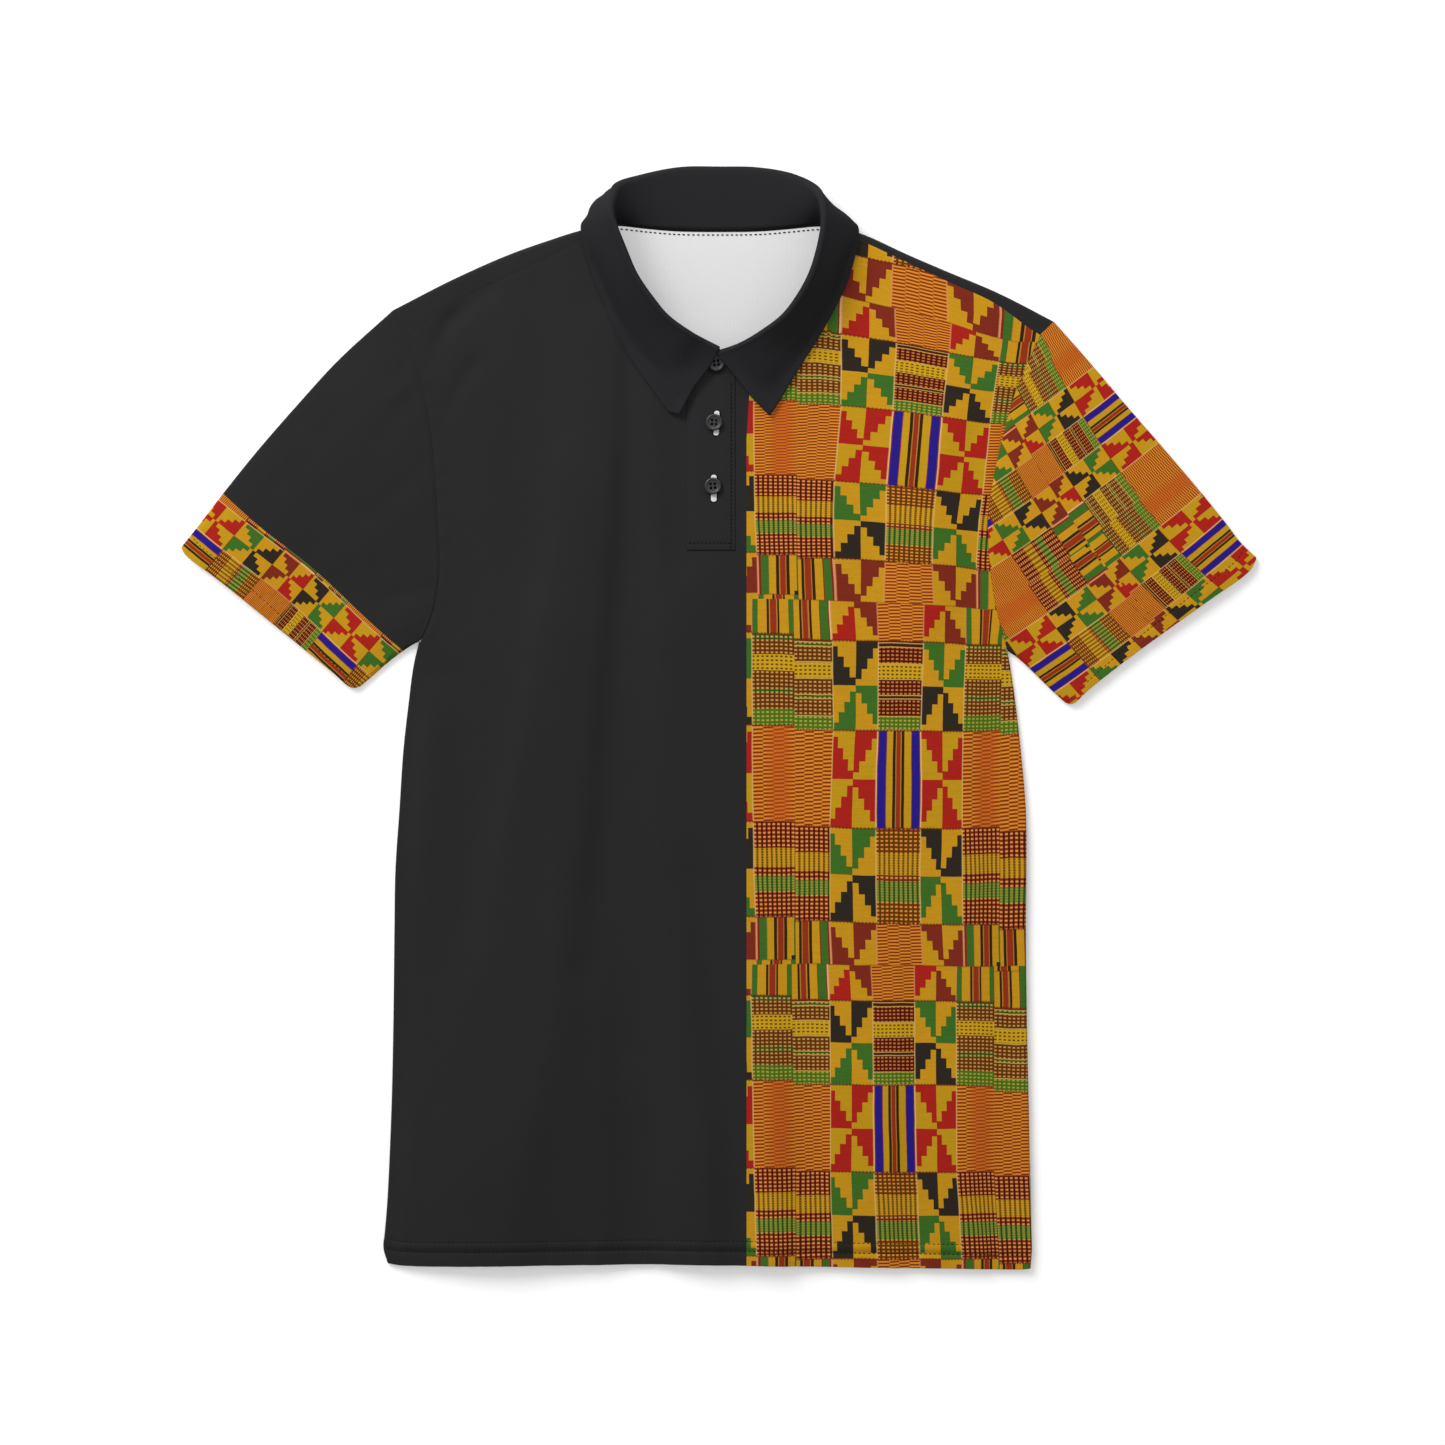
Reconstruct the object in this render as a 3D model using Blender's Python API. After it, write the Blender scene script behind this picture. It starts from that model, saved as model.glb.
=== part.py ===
"""A short-sleeved polo shirt laid flat on its back, front up.

Frame: metres, +Z up from the surface, +Y towards the collar, +X to the
wearer's left (the printed half).  The origin is under the middle of the
shirt, on the surface.  Tables are in millimetres.

Every cloth piece is a wall: a grid of points on its outer face and a second
grid one cloth thickness inside it, joined round its free edges.
"""
import math

import bmesh
import bpy
import numpy as np

MM = 0.001

# ---------------------------------------------------------------- sizes, mm
CLOTH = 1.2            # single cloth, with its seam allowances
DOUBLE = 1.8           # collar, two plies
PLACKET = 1.4          # placket, folded double
SEAM = 0.4             # gap kept at each seam
FOLD_R = 1.9           # outer radius of a flattened fold
SIDE_TOP = 3.2         # height of the front where it rolls over a side seam
PANEL_TOP = 5.2        # height of the front away from its edges
NECK_RISE = 1.0        # extra height of the front by the neck
LEAF_LIFT = 2.15       # the back lies this high where the collar is under it
SLOT = (-20.6, 8.7)    # slash for the placket, X
SLOT_FOOT = 122.6      # foot of the slash, Y
PLACKET_X = (-22.8, 10.9)
PLACKET_FOOT = 117.4
BUTTON_R = 5.9
BUTTON_T = 2.3


def rows(names, *values):
    """A small table: one dict for each row, with named columns."""
    names = names.split()
    return [dict(zip(names, v)) for v in values]


def smooth(a, b, x):
    t = np.clip((np.asarray(x, float) - a) / (b - a), 0.0, 1.0)
    return t * t * (3 - 2 * t)


class Curve:
    """A smooth curve through the rows of a table, read by length, x or y."""

    def __init__(self, table, names="x y", steps=14):
        p = np.array([[r[n] for n in names.split()] for r in table], float)
        q = np.vstack([2 * p[0] - p[1], p, 2 * p[-1] - p[-2]])
        out = []
        for i in range(1, len(q) - 2):
            a, b, c, d = q[i - 1:i + 3]
            k = [0.0]
            for m, n in ((a, b), (b, c), (c, d)):
                k.append(k[-1] + max(np.linalg.norm(n - m), 1e-6) ** 0.5)
            for j in range(steps):
                t = k[1] + (k[2] - k[1]) * j / steps
                l1 = (k[1] - t) / (k[1] - k[0]) * a + (t - k[0]) / (k[1] - k[0]) * b
                l2 = (k[2] - t) / (k[2] - k[1]) * b + (t - k[1]) / (k[2] - k[1]) * c
                l3 = (k[3] - t) / (k[3] - k[2]) * c + (t - k[2]) / (k[3] - k[2]) * d
                m1 = (k[2] - t) / (k[2] - k[0]) * l1 + (t - k[0]) / (k[2] - k[0]) * l2
                m2 = (k[3] - t) / (k[3] - k[1]) * l2 + (t - k[1]) / (k[3] - k[1]) * l3
                out.append((k[2] - t) / (k[2] - k[1]) * m1 + (t - k[1]) / (k[2] - k[1]) * m2)
        out.append(p[-1])
        self.p = np.array(out)
        step = np.linalg.norm(np.diff(self.p[:, :2], axis=0), axis=1)
        self.s = np.concatenate([[0], np.cumsum(step)])
        self.length = self.s[-1]
        self.s = self.s / self.length

    def at(self, s):
        return np.array([np.interp(s, self.s, self.p[:, k])
                         for k in range(self.p.shape[1])])

    def _read(self, a, b, v):
        p = self.p[np.argsort(self.p[:, a], kind="stable")]
        return float(np.interp(v, p[:, a], p[:, b]))

    def x_at(self, y):
        return self._read(1, 0, y)

    def y_at(self, x):
        return self._read(0, 1, x)

    def tangent(self, s):
        d = self.at(min(s + 0.004, 1)) - self.at(max(s - 0.004, 0))
        return d / np.linalg.norm(d)


# ------------------------------------------------------ outline, mm, flat
HEM = Curve(rows("x y",
    (-233, -381.4), (-226, -382.9), (-120, -382.6), (0, -382.4), (90, -384.3),
    (160, -385.2), (214, -385.7), (218, -385.0)))
SIDE_L = Curve(rows("x y",
    (-232.6, -381.6), (-235.6, -372), (-234.6, -360), (-232.8, -337.4),
    (-230, -274.4), (-228.6, -211.4), (-227.9, -148.4), (-227.2, -106.4),
    (-224.4, -64.4), (-221.6, -22.4), (-218.1, 9.1), (-214.6, 36),
    (-210.5, 53.6)))
SIDE_R = Curve(rows("x y",
    (217.8, -385.2), (218.8, -372), (218.5, -355), (218.1, -337.4),
    (216.7, -274.4), (215.3, -211.4), (214.6, -148.4), (215, -106.4),
    (214.6, -64.4), (211.1, -22.4), (207.6, 9.1), (204.4, 32), (201.7, 47.3)))
ARM_L = Curve(rows("x y",
    (-210.5, 53.6), (-204.8, 63), (-200, 77.7), (-196.4, 103), (-197.8, 137),
    (-199.9, 173.6), (-204, 208.6), (-213.2, 248.5), (-228.5, 286.0)))
ARM_R = Curve(rows("x y",
    (201.7, 47.3), (193.9, 76.8), (190, 102.3), (188, 129.8), (189, 149.5),
    (192.9, 173), (199.9, 202.5), (207.6, 229), (218.5, 255.5),
    (225.3, 269.3), (234.2, 277.8)))
# The shoulder fold, from the neck to the sleeve, and the seam in front of it.
FOLD_L = Curve(rows("x y",
    (-79.5, 346.5), (-88, 344.2), (-96, 341.8), (-104.5, 339.4),
    (-114.5, 336.2), (-145.3, 325.5), (-183.8, 308.7), (-228.5, 286.0)))
FOLD_R_ = Curve(rows("x y",
    (80, 345.2), (88, 343.0), (97, 340.0), (106.8, 336.2), (129.9, 325.5),
    (155.8, 314.3), (195.7, 297.5), (234.2, 277.8)))
SEAM_L = Curve(rows("x y",
    (-78.5, 340.6), (-96, 334.8), (-113, 326.4), (-150, 308.6),
    (-182, 293.8), (-209, 275.8), (-219.4, 265.0)))
SEAM_R = Curve(rows("x y",
    (80, 339.8), (96, 335.0), (105.1, 331.4), (122.5, 323.2), (159.3, 305.9),
    (191.3, 291.3), (219, 271.8), (225.0, 268.6)))
# The neck seam, from the centre front round to the centre back.
NECK_L = Curve(rows("x y",
    (-1.8, 255.6), (-12, 258.2), (-23.2, 262.9), (-40.3, 275.0),
    (-50.8, 287.0), (-63.7, 304.4), (-72.0, 322.3), (-76.0, 338.0)))
NECK_R = Curve(rows("x y",
    (0.4, 254.4), (10.5, 255.4), (20.7, 258.6), (34.5, 266.0), (48.2, 275.2),
    (60.5, 291.0), (70.6, 309.0), (75.2, 327.0), (75.8, 338.5)))
BACK_NECK = Curve(rows("x y",
    (-78.5, 344.6), (-70, 344.6), (-51.5, 342.6), (-30, 340.8), (0, 340.4),
    (28.8, 340.8), (50, 342.5), (69, 344.2), (79, 343.6)))

# Main folds of the front: a soft ridge (+) or trough (-) along a line.
FOLDS = rows("x0 y0 x1 y1 x2 y2 width height",
    (-68, 250, -73, 60, -100, -175, 13, -1.5),
    (-100, -140, -110, -250, -105, -365, 15, -1.7),
    (-131, 60, -150, -40, -166, -150, 24, 2.0),
    (-40, 60, -48, -110, -62, -260, 26, 1.8),
    (-21, -120, -22, -190, -20, -270, 12, -1.1),
    (-189, 10, -190, -57, -180, -140, 20, -1.2),
    (-168, 298, -184, 276, -199, 250, 8, -0.8),
    (72, 120, 80, -60, 92, -240, 26, 1.3),
    (44, -60, 42, -180, 50, -330, 13, -1.1),
    (140, 190, 134, 60, 128, -60, 22, 1.2),
    (165, 40, 158, -90, 160, -240, 20, -1.0),
    (120, -190, 126, -270, 122, -360, 16, -1.0))


def fold_height(x, y):
    """Sum of the ridges and troughs at a point of the front."""
    z = 0.0
    for f in FOLDS:
        best, span = 1e9, 0.0
        a = np.array([f["x0"], f["y0"]])
        for b in (np.array([f["x1"], f["y1"]]), np.array([f["x2"], f["y2"]])):
            d = b - a
            t = float(np.clip(np.dot((x - a[0], y - a[1]), d) / np.dot(d, d), 0, 1))
            r = math.hypot(x - a[0] - t * d[0], y - a[1] - t * d[1])
            best = min(best, r)
            a = b
        z += f["height"] * math.exp(-0.5 * (best / f["width"]) ** 2)
    return z


def side_x(y, left):
    """The body's edge at a height: the side seam, then the armhole."""
    side, arm = (SIDE_L, ARM_L) if left else (SIDE_R, ARM_R)
    return arm.x_at(y) if y > side.p[-1, 1] else side.x_at(y)


def front_z(x, y):
    """Height of the front's outer face."""
    left = x < 0
    inset = (x - side_x(y, True)) if left else (side_x(y, False) - x)
    edge = SIDE_TOP + (2 * FOLD_R - SIDE_TOP) * smooth(30, 60, y)
    z = edge + (PANEL_TOP - edge) * smooth(0, 48, inset)
    z += NECK_RISE * smooth(200, 300, y) * (1 - smooth(108, 190, abs(x)))
    free = smooth(0, 40, inset) * (1 - smooth(262, 300, y) * smooth(95, 60, abs(x)))
    return float(z + fold_height(x, y) * free)


def back_z(x, y):
    """Height of the back's under face: raised only over the collar."""
    return float(LEAF_LIFT * smooth(300, 326, y) * (1 - smooth(100, 128, abs(x))))


# ------------------------------------------------------------ mesh helpers
class Sheet:
    """A cloth wall: outer and inner points, and the quads between them."""

    def __init__(self):
        self.index, self.outer, self.inner, self.quads = {}, [], [], []

    def put(self, key, outer, inner):
        self.index[key] = len(self.outer)
        self.outer.append(tuple(float(c) * MM for c in outer))
        self.inner.append(tuple(float(c) * MM for c in inner))

    def quad(self, *keys):
        self.quads.append([self.index[k] for k in keys])

    def build(self, name, material):
        n = len(self.outer)
        used, seen = {}, set()
        for q in self.quads:
            for a, b in zip(q, q[1:] + q[:1]):
                used.setdefault((min(a, b), max(a, b)), []).append((a, b))
                seen.update((a, b))
        bm = bmesh.new()
        verts = {}
        for i in sorted(seen):
            verts[i] = bm.verts.new(self.outer[i])
            verts[i + n] = bm.verts.new(self.inner[i])
        for q in self.quads:
            bm.faces.new([verts[i] for i in q])
            bm.faces.new([verts[i + n] for i in reversed(q)])
        for edges in used.values():
            if len(edges) == 1:
                a, b = edges[0]
                bm.faces.new([verts[b], verts[a], verts[a + n], verts[b + n]])
        bmesh.ops.recalc_face_normals(bm, faces=bm.faces)
        bmesh.ops.triangulate(bm, faces=bm.faces)
        return finish(bm, name, material)


def finish(bm, name, material, angle=40):
    mesh = bpy.data.meshes.new(name)
    bm.to_mesh(mesh)
    bm.free()
    mesh.shade_smooth()
    mesh.set_sharp_from_angle(angle=math.radians(angle))
    obj = bpy.data.objects.new(name, mesh)
    bpy.context.scene.collection.objects.link(obj)
    mesh.materials.append(material)
    return obj


def cloth(name, colour, roughness=0.85):
    mat = bpy.data.materials.new(name)
    mat.use_nodes = True
    bsdf = mat.node_tree.nodes["Principled BSDF"]
    bsdf.inputs["Base Color"].default_value = (*colour, 1)
    bsdf.inputs["Roughness"].default_value = roughness
    bsdf.inputs["Metallic"].default_value = 0.0
    mat.diffuse_color = (*colour, 1)
    return mat


def ply(x, y, z, t=CLOTH):
    """A point of a flat-lying panel: its outer face and the face below."""
    return (x, y, z), (x, y, z - t)


# ------------------------------------------------------------------- front
# Columns between the side and the chest (a share of that width), and the
# fixed columns over the chest.  Front and back share them at the shoulder.
OUTER = (1.0, 0.88, 0.74, 0.58, 0.42, 0.27, 0.13)
CHEST = 96
CHEST_L = (-96, -86, -79, -73.5, -66, -53, -40, -30, SLOT[0], -6, SLOT[1])
CHEST_R = (19, 31, 43, 54, 65, 74.5, 80, 87, 96)
# Rows of body and sleeves along each armhole, from underarm to shoulder.
ARM_ROWS = rows("left right",
    (53.1, 46.8), (72, 68), (97, 96), (122.6, 122.6), (146, 146), (171, 171),
    (196, 196), (219, 221), (243, 246), (264.6, 268.2))
LOW_ROWS = rows("left right",
    (-383, -385), (-370, -371), (-326, -326), (-270, -270), (-212, -212),
    (-156, -156), (-108, -108), (-64, -64), (-24, -24), (10, 8),
    (35, 31)) + ARM_ROWS[:4]
CORNER = LOW_ROWS.index(ARM_ROWS[0])
HIGH_ROWS = (0.17, 0.35, 0.53, 0.7, 0.86, 1.0)


def neck_edge(x):
    """The front's neck edge: outside the neck seam by the collar's wall."""
    curve = NECK_L if x < -0.7 else NECK_R
    reach = 1.5 + 1.4 * float(smooth(35, 70, abs(x)))
    best = None
    for s in np.linspace(0, 1, 160):
        p, t = curve.at(s), curve.tangent(s)
        n = np.array([-t[1], t[0]]) if x < -0.7 else np.array([t[1], -t[0]])
        q = p + reach * n
        if best is None or abs(q[0] - x) < best[0]:
            best = (abs(q[0] - x), q[1])
    return best[1]


def shoulder_share(col):
    """Where a column meets the shoulder, as a share from neck to sleeve."""
    left = col[1] if col[0] == "out" else col[1] < 0
    seam = SEAM_L if left else SEAM_R
    fixed = float(np.interp(CHEST if col[0] == "out" else abs(col[1]),
                            np.abs(seam.p[:, 0]), seam.s))
    share = fixed + (1 - fixed) * col[2] if col[0] == "out" else fixed
    return left, share


def columns():
    return ([("out", True, k) for k in OUTER] + [("fix", x) for x in CHEST_L]
            + [("fix", x) for x in CHEST_R]
            + [("out", False, k) for k in reversed(OUTER)])


def column_x(col, x_l, x_r):
    if col[0] == "fix":
        return col[1]
    return (-CHEST + col[2] * (x_l + CHEST) if col[1]
            else CHEST + col[2] * (x_r - CHEST))


def make_front(material):
    sheet = Sheet()
    cols = columns()
    last_c = len(cols) - 1
    n_low, n_high = len(LOW_ROWS), len(HIGH_ROWS)
    tops = []
    for col in cols:
        if col[0] == "fix" and abs(col[1]) < 77:
            tops.append((col[1], neck_edge(col[1])))
        else:
            left, share = shoulder_share(col)
            x, y = (SEAM_L if left else SEAM_R).at(share)
            tops.append((x, y - SEAM))
    for r in range(n_low + n_high):
        low = r < n_low
        level = LOW_ROWS[r] if low else ARM_ROWS[4 + r - n_low]
        y_l, y_r = level["left"], level["right"]
        if r <= CORNER:
            x_l, x_r = side_x(y_l, True) + FOLD_R, side_x(y_r, False) - FOLD_R
        else:
            x_l, x_r = ARM_L.x_at(y_l) + SEAM / 2, ARM_R.x_at(y_r) - SEAM / 2
        for c, col in enumerate(cols):
            x = column_x(col, x_l, x_r)
            if low:
                y = y_l + (y_r - y_l) * (x - x_l) / (x_r - x_l)
                if r == 0:
                    y = HEM.y_at(x)
            else:
                f = HIGH_ROWS[r - n_low]
                y = SLOT_FOOT + f * (tops[c][1] - SLOT_FOOT)
                if c in (0, last_c):
                    y = y_l if c == 0 else y_r
                elif f == 1.0:
                    x = tops[c][0]
            sheet.put((r, c), *ply(x, y, front_z(x, y)))
    slot_a, slot_b = (cols.index(("fix", SLOT[0])), cols.index(("fix", SLOT[1])))
    for r in range(n_low + n_high - 1):
        for c in range(last_c):
            if r >= n_low - 1 and slot_a <= c < slot_b:
                continue
            sheet.quad((r, c), (r, c + 1), (r + 1, c + 1), (r + 1, c))
    # The side seams: the front rolls over and down to the surface.
    for left in (True, False):
        c = 0 if left else last_c
        sign = -1 if left else 1
        for r in range(CORNER + 1):
            x0, y0, z0 = [v / MM for v in sheet.outer[sheet.index[(r, c)]]]
            k = FOLD_R - CLOTH
            for j, a in enumerate((30, 60, 90), 1):
                a = math.radians(a)
                out = (x0 + sign * FOLD_R * math.sin(a), y0, z0 - FOLD_R * (1 - math.cos(a)))
                inn = (x0 + sign * k * math.sin(a), y0, z0 - FOLD_R + k * math.cos(a))
                sheet.put((r, c, j), out, inn)
            sheet.put((r, c, 4), (x0 + sign * (FOLD_R - 0.1), y0, 0.0),
                      (x0 + sign * k, y0, 0.0))
        for r in range(CORNER):
            for j in range(4):
                a, b = ((r, c) if j == 0 else (r, c, j)), (r, c, j + 1)
                d, e = ((r + 1, c) if j == 0 else (r + 1, c, j)), (r + 1, c, j + 1)
                sheet.quad(a, b, e, d)
    return sheet.build("front", material)


# -------------------------------------------------------------------- back
BACK_CHEST = (-96, -86, -79, -70, -56, -38, -19, 0, 19, 38, 56, 70, 80, 87, 96)
BACK_LOW = LOW_ROWS        # the side seams share their rows
BACK_CORNER = BACK_LOW.index(ARM_ROWS[0])
BACK_HIGH = (0.2, 0.42, 0.64, 0.82, 0.88, 0.94, 1.0)
ROLL = (45, 90, 135, 180)


def make_back(material):
    sheet = Sheet()
    cols = ([("out", True, k) for k in OUTER] + [("fix", x) for x in BACK_CHEST]
            + [("out", False, k) for k in reversed(OUTER)])
    last_c = len(cols) - 1
    first_neck, last_neck = cols.index(("fix", -79)), cols.index(("fix", 80))
    tops, roll = {}, {}
    for c, col in enumerate(cols):
        if first_neck < c < last_neck:
            tops[c] = (col[1], BACK_NECK.y_at(col[1]))
            continue
        left, share = shoulder_share(col)
        fold, seam = (FOLD_L, SEAM_L) if left else (FOLD_R_, SEAM_R)
        p, t, end = fold.at(share), fold.tangent(share), seam.at(share)
        n = np.array([t[1], -t[0]]) if left else np.array([-t[1], t[0]])
        zb = back_z(p[0], p[1] - FOLD_R)
        r_out = max(front_z(*end) - zb, 2 * FOLD_R) / 2
        if c in (0, last_c):            # the roll's end follows the armhole
            r_out = FOLD_R
            arm, y = (ARM_L, ARM_ROWS[-1]["left"]) if left else (ARM_R, ARM_ROWS[-1]["right"])
            q = np.array([arm.x_at(y), y])
            n = (p - q) / np.linalg.norm(p - q)
            gap = np.array([SEAM / 2 if left else -SEAM / 2, 0])
            p, end = p + gap, q + gap
        tops[c] = tuple(p - r_out * n)
        roll[c] = (p - r_out * n, n, zb, r_out, end)
    n_low, n_high = len(BACK_LOW), len(BACK_HIGH)
    last = n_low + n_high - 1
    for r in range(last + 1):
        low = r < n_low
        if low:
            y_l, y_r = BACK_LOW[r]["left"], BACK_LOW[r]["right"]
        elif r < last:
            y_l, y_r = (ARM_ROWS[4 + r - n_low][k] for k in ("left", "right"))
        else:
            y_l, y_r = tops[0][1], tops[last_c][1]
        if r <= BACK_CORNER:
            x_l = side_x(y_l, True) + CLOTH + SEAM
            x_r = side_x(y_r, False) - CLOTH - SEAM
        else:
            x_l, x_r = ARM_L.x_at(y_l) + SEAM / 2, ARM_R.x_at(y_r) - SEAM / 2
        for c, col in enumerate(cols):
            x = column_x(col, x_l, x_r)
            if low:
                y = y_l + (y_r - y_l) * (x - x_l) / (x_r - x_l)
                if r == 0:
                    y = HEM.y_at(x) + 0.3
            else:
                f = BACK_HIGH[r - n_low]
                y = SLOT_FOOT + f * (tops[c][1] - SLOT_FOOT)
                if c in (0, last_c):
                    y = y_l if c == 0 else y_r
                if r == last:
                    x = tops[c][0]
            z = roll[c][2] if r == last and c in roll else back_z(x, y)
            sheet.put((r, c), (x, y, z), (x, y, z + CLOTH))
    for r in range(last):
        for c in range(last_c):
            sheet.quad((r, c), (r, c + 1), (r + 1, c + 1), (r + 1, c))
    # Over the shoulder: half a turn round the fold, then on to the seam.
    for c, (base, n, zb, r_out, end) in roll.items():
        r_in = r_out - CLOTH
        for j, a in enumerate(ROLL, 1):
            a = math.radians(a)
            out = (*(base + n * r_out * math.sin(a)), zb + r_out * (1 - math.cos(a)))
            inn = (*(base + n * r_in * math.sin(a)), zb + r_out - r_in * math.cos(a))
            sheet.put((last, c, j), out, inn)
        sheet.put((last, c, len(ROLL) + 1), *ply(*end, zb + 2 * r_out))
    keys = sorted(roll)
    for a, b in zip(keys, keys[1:]):
        if b != a + 1:
            continue
        for j in range(len(ROLL) + 1):
            p = (last, a) if j == 0 else (last, a, j)
            q = (last, b) if j == 0 else (last, b, j)
            sheet.quad(p, q, (last, b, j + 1), (last, a, j + 1))
    return sheet.build("back", material)


# ----------------------------------------------------------------- sleeves
# Underarm fold, over-arm fold and hem of each sleeve.
UNDER_L = Curve(rows("x y", (-210.9, 54.0), (-216.2, 51.2), (-230.7, 40.6), (-244, 28.8), (-252, 22.0)))
OVER_L = Curve(rows("x y",
    (-228.9, 286.3), (-267.8, 250.6), (-296.5, 219.1), (-323.8, 187.6),
    (-349, 156.1), (-365, 135.1), (-377.2, 119.7)))
HEM_L = Curve(rows("x y",
    (-252, 22.0), (-258, 21.6), (-270, 31.4), (-312, 65.6), (-350, 96.2),
    (-374, 114.6), (-377.2, 119.7)))
UNDER_R = Curve(rows("x y", (202.1, 47.7), (211.1, 40.9), (222.3, 30.1), (232.8, 19.6), (242.6, 10.6)))
OVER_R = Curve(rows("x y",
    (234.6, 278.0), (258.7, 250.6), (285.3, 219.1), (312.6, 187.6),
    (339.2, 156.1), (356, 135.1), (364.4, 123.9), (376.3, 112.4)))
HEM_R = Curve(rows("x y",
    (242.6, 10.6), (247.5, 10.2), (258, 19.6), (284.6, 40.6), (313.3, 61.6),
    (342.7, 82.6), (371.4, 103.6), (376.3, 112.4)))
SLEEVE_FOLDS = rows("side x0 y0 x1 y1 width height",
    (-1, -250, 215, -330, 120, 26, 1.6),
    (-1, -215, 110, -300, 75, 18, -0.9),
    (-1, -222, 66, -262, 40, 10, 0.8),
    (1, 246, 208, 330, 112, 26, 1.5),
    (1, 206, 108, 292, 72, 18, -0.9),
    (1, 214, 60, 252, 34, 10, 0.8))
ALONG = (0.0, 0.08, 0.2, 0.34, 0.49, 0.64, 0.78, 0.9, 1.0)


def sleeve_plan(left):
    """Plan of a sleeve between its two folds, its armhole and its hem."""
    arm, under, over, hem = ((ARM_L, UNDER_L, OVER_L, HEM_L) if left
                             else (ARM_R, UNDER_R, OVER_R, HEM_R))
    shift = np.array([-SEAM / 2 if left else SEAM / 2, 0.0])

    def at(u, v):
        a, b = arm.at(u) + shift, hem.at(u)
        c, d = under.at(v), over.at(v)
        corner = ((1 - u) * (1 - v) * under.at(0) + u * (1 - v) * over.at(0)
                  + (1 - u) * v * under.at(1) + u * v * over.at(1))
        return (1 - v) * a + v * b + (1 - u) * c + u * d - corner
    return at


def sleeve_z(x, y, u, side):
    """Height of a sleeve's upper face: low at both folds."""
    z = 2 * FOLD_R + 1.5 * (4 * u * (1 - u)) ** 0.7
    for f in SLEEVE_FOLDS:
        if f["side"] == side:
            a = np.array([f["x0"], f["y0"]])
            d = np.array([f["x1"], f["y1"]]) - a
            t = float(np.clip(np.dot((x - a[0], y - a[1]), d) / np.dot(d, d), 0, 1))
            r = math.hypot(x - a[0] - t * d[0], y - a[1] - t * d[1])
            z += f["height"] * math.exp(-0.5 * (r / f["width"]) ** 2) * min(1, 12 * u * (1 - u))
    return z


def make_sleeve(name, left, material):
    sheet = Sheet()
    plan = sleeve_plan(left)
    side = -1 if left else 1
    k = FOLD_R - CLOTH
    arm = ARM_L if left else ARM_R
    across = [0.0] + [float(np.interp(a["left" if left else "right"], arm.p[:, 1], arm.s))
                      for a in ARM_ROWS[1:]] + [1.0]
    n_a = len(across)
    for i, v in enumerate(ALONG):
        ring = []
        base = [plan(u, v) for u in across]
        for end in (0, 1):              # pull the ends in by the fold's radius
            p, q = (base[0], base[1]) if end == 0 else (base[-1], base[-2])
            d = (q - p) / np.linalg.norm(q - p)
            if end == 0:
                base[0], dir0 = p + d * FOLD_R, -d
            else:
                base[-1], dir1 = p + d * FOLD_R, -d
        seam = (1 - smooth(0, 0.1, v))
        for j, u in enumerate(across):
            x, y = base[j]
            z = sleeve_z(x, y, u, side)
            z = z + (2 * FOLD_R - z) * 0.8 * seam
            ring.append(ply(x, y, z))
        for a in (45, 90, 135):
            a = math.radians(a)
            z = FOLD_R * (1 + math.cos(a))
            ring.append(((*(base[-1] + dir1 * FOLD_R * math.sin(a)), z),
                         (*(base[-1] + dir1 * k * math.sin(a)), FOLD_R + k * math.cos(a))))
        for j in range(n_a - 1, -1, -1):
            x, y = base[j]
            ring.append(((x, y, 0.0), (x, y, CLOTH)))
        for a in (135, 90, 45):
            a = math.radians(a)
            z = FOLD_R * (1 + math.cos(a))
            ring.append(((*(base[0] + dir0 * FOLD_R * math.sin(a)), z),
                         (*(base[0] + dir0 * k * math.sin(a)), FOLD_R + k * math.cos(a))))
        for j, (o, n) in enumerate(ring):
            sheet.put((i, j), o, n)
    m = len(ring)
    for i in range(len(ALONG) - 1):
        for j in range(m):
            sheet.quad((i, j), (i, (j + 1) % m), (i + 1, (j + 1) % m), (i + 1, j))
    return sheet.build(name, material)


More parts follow.
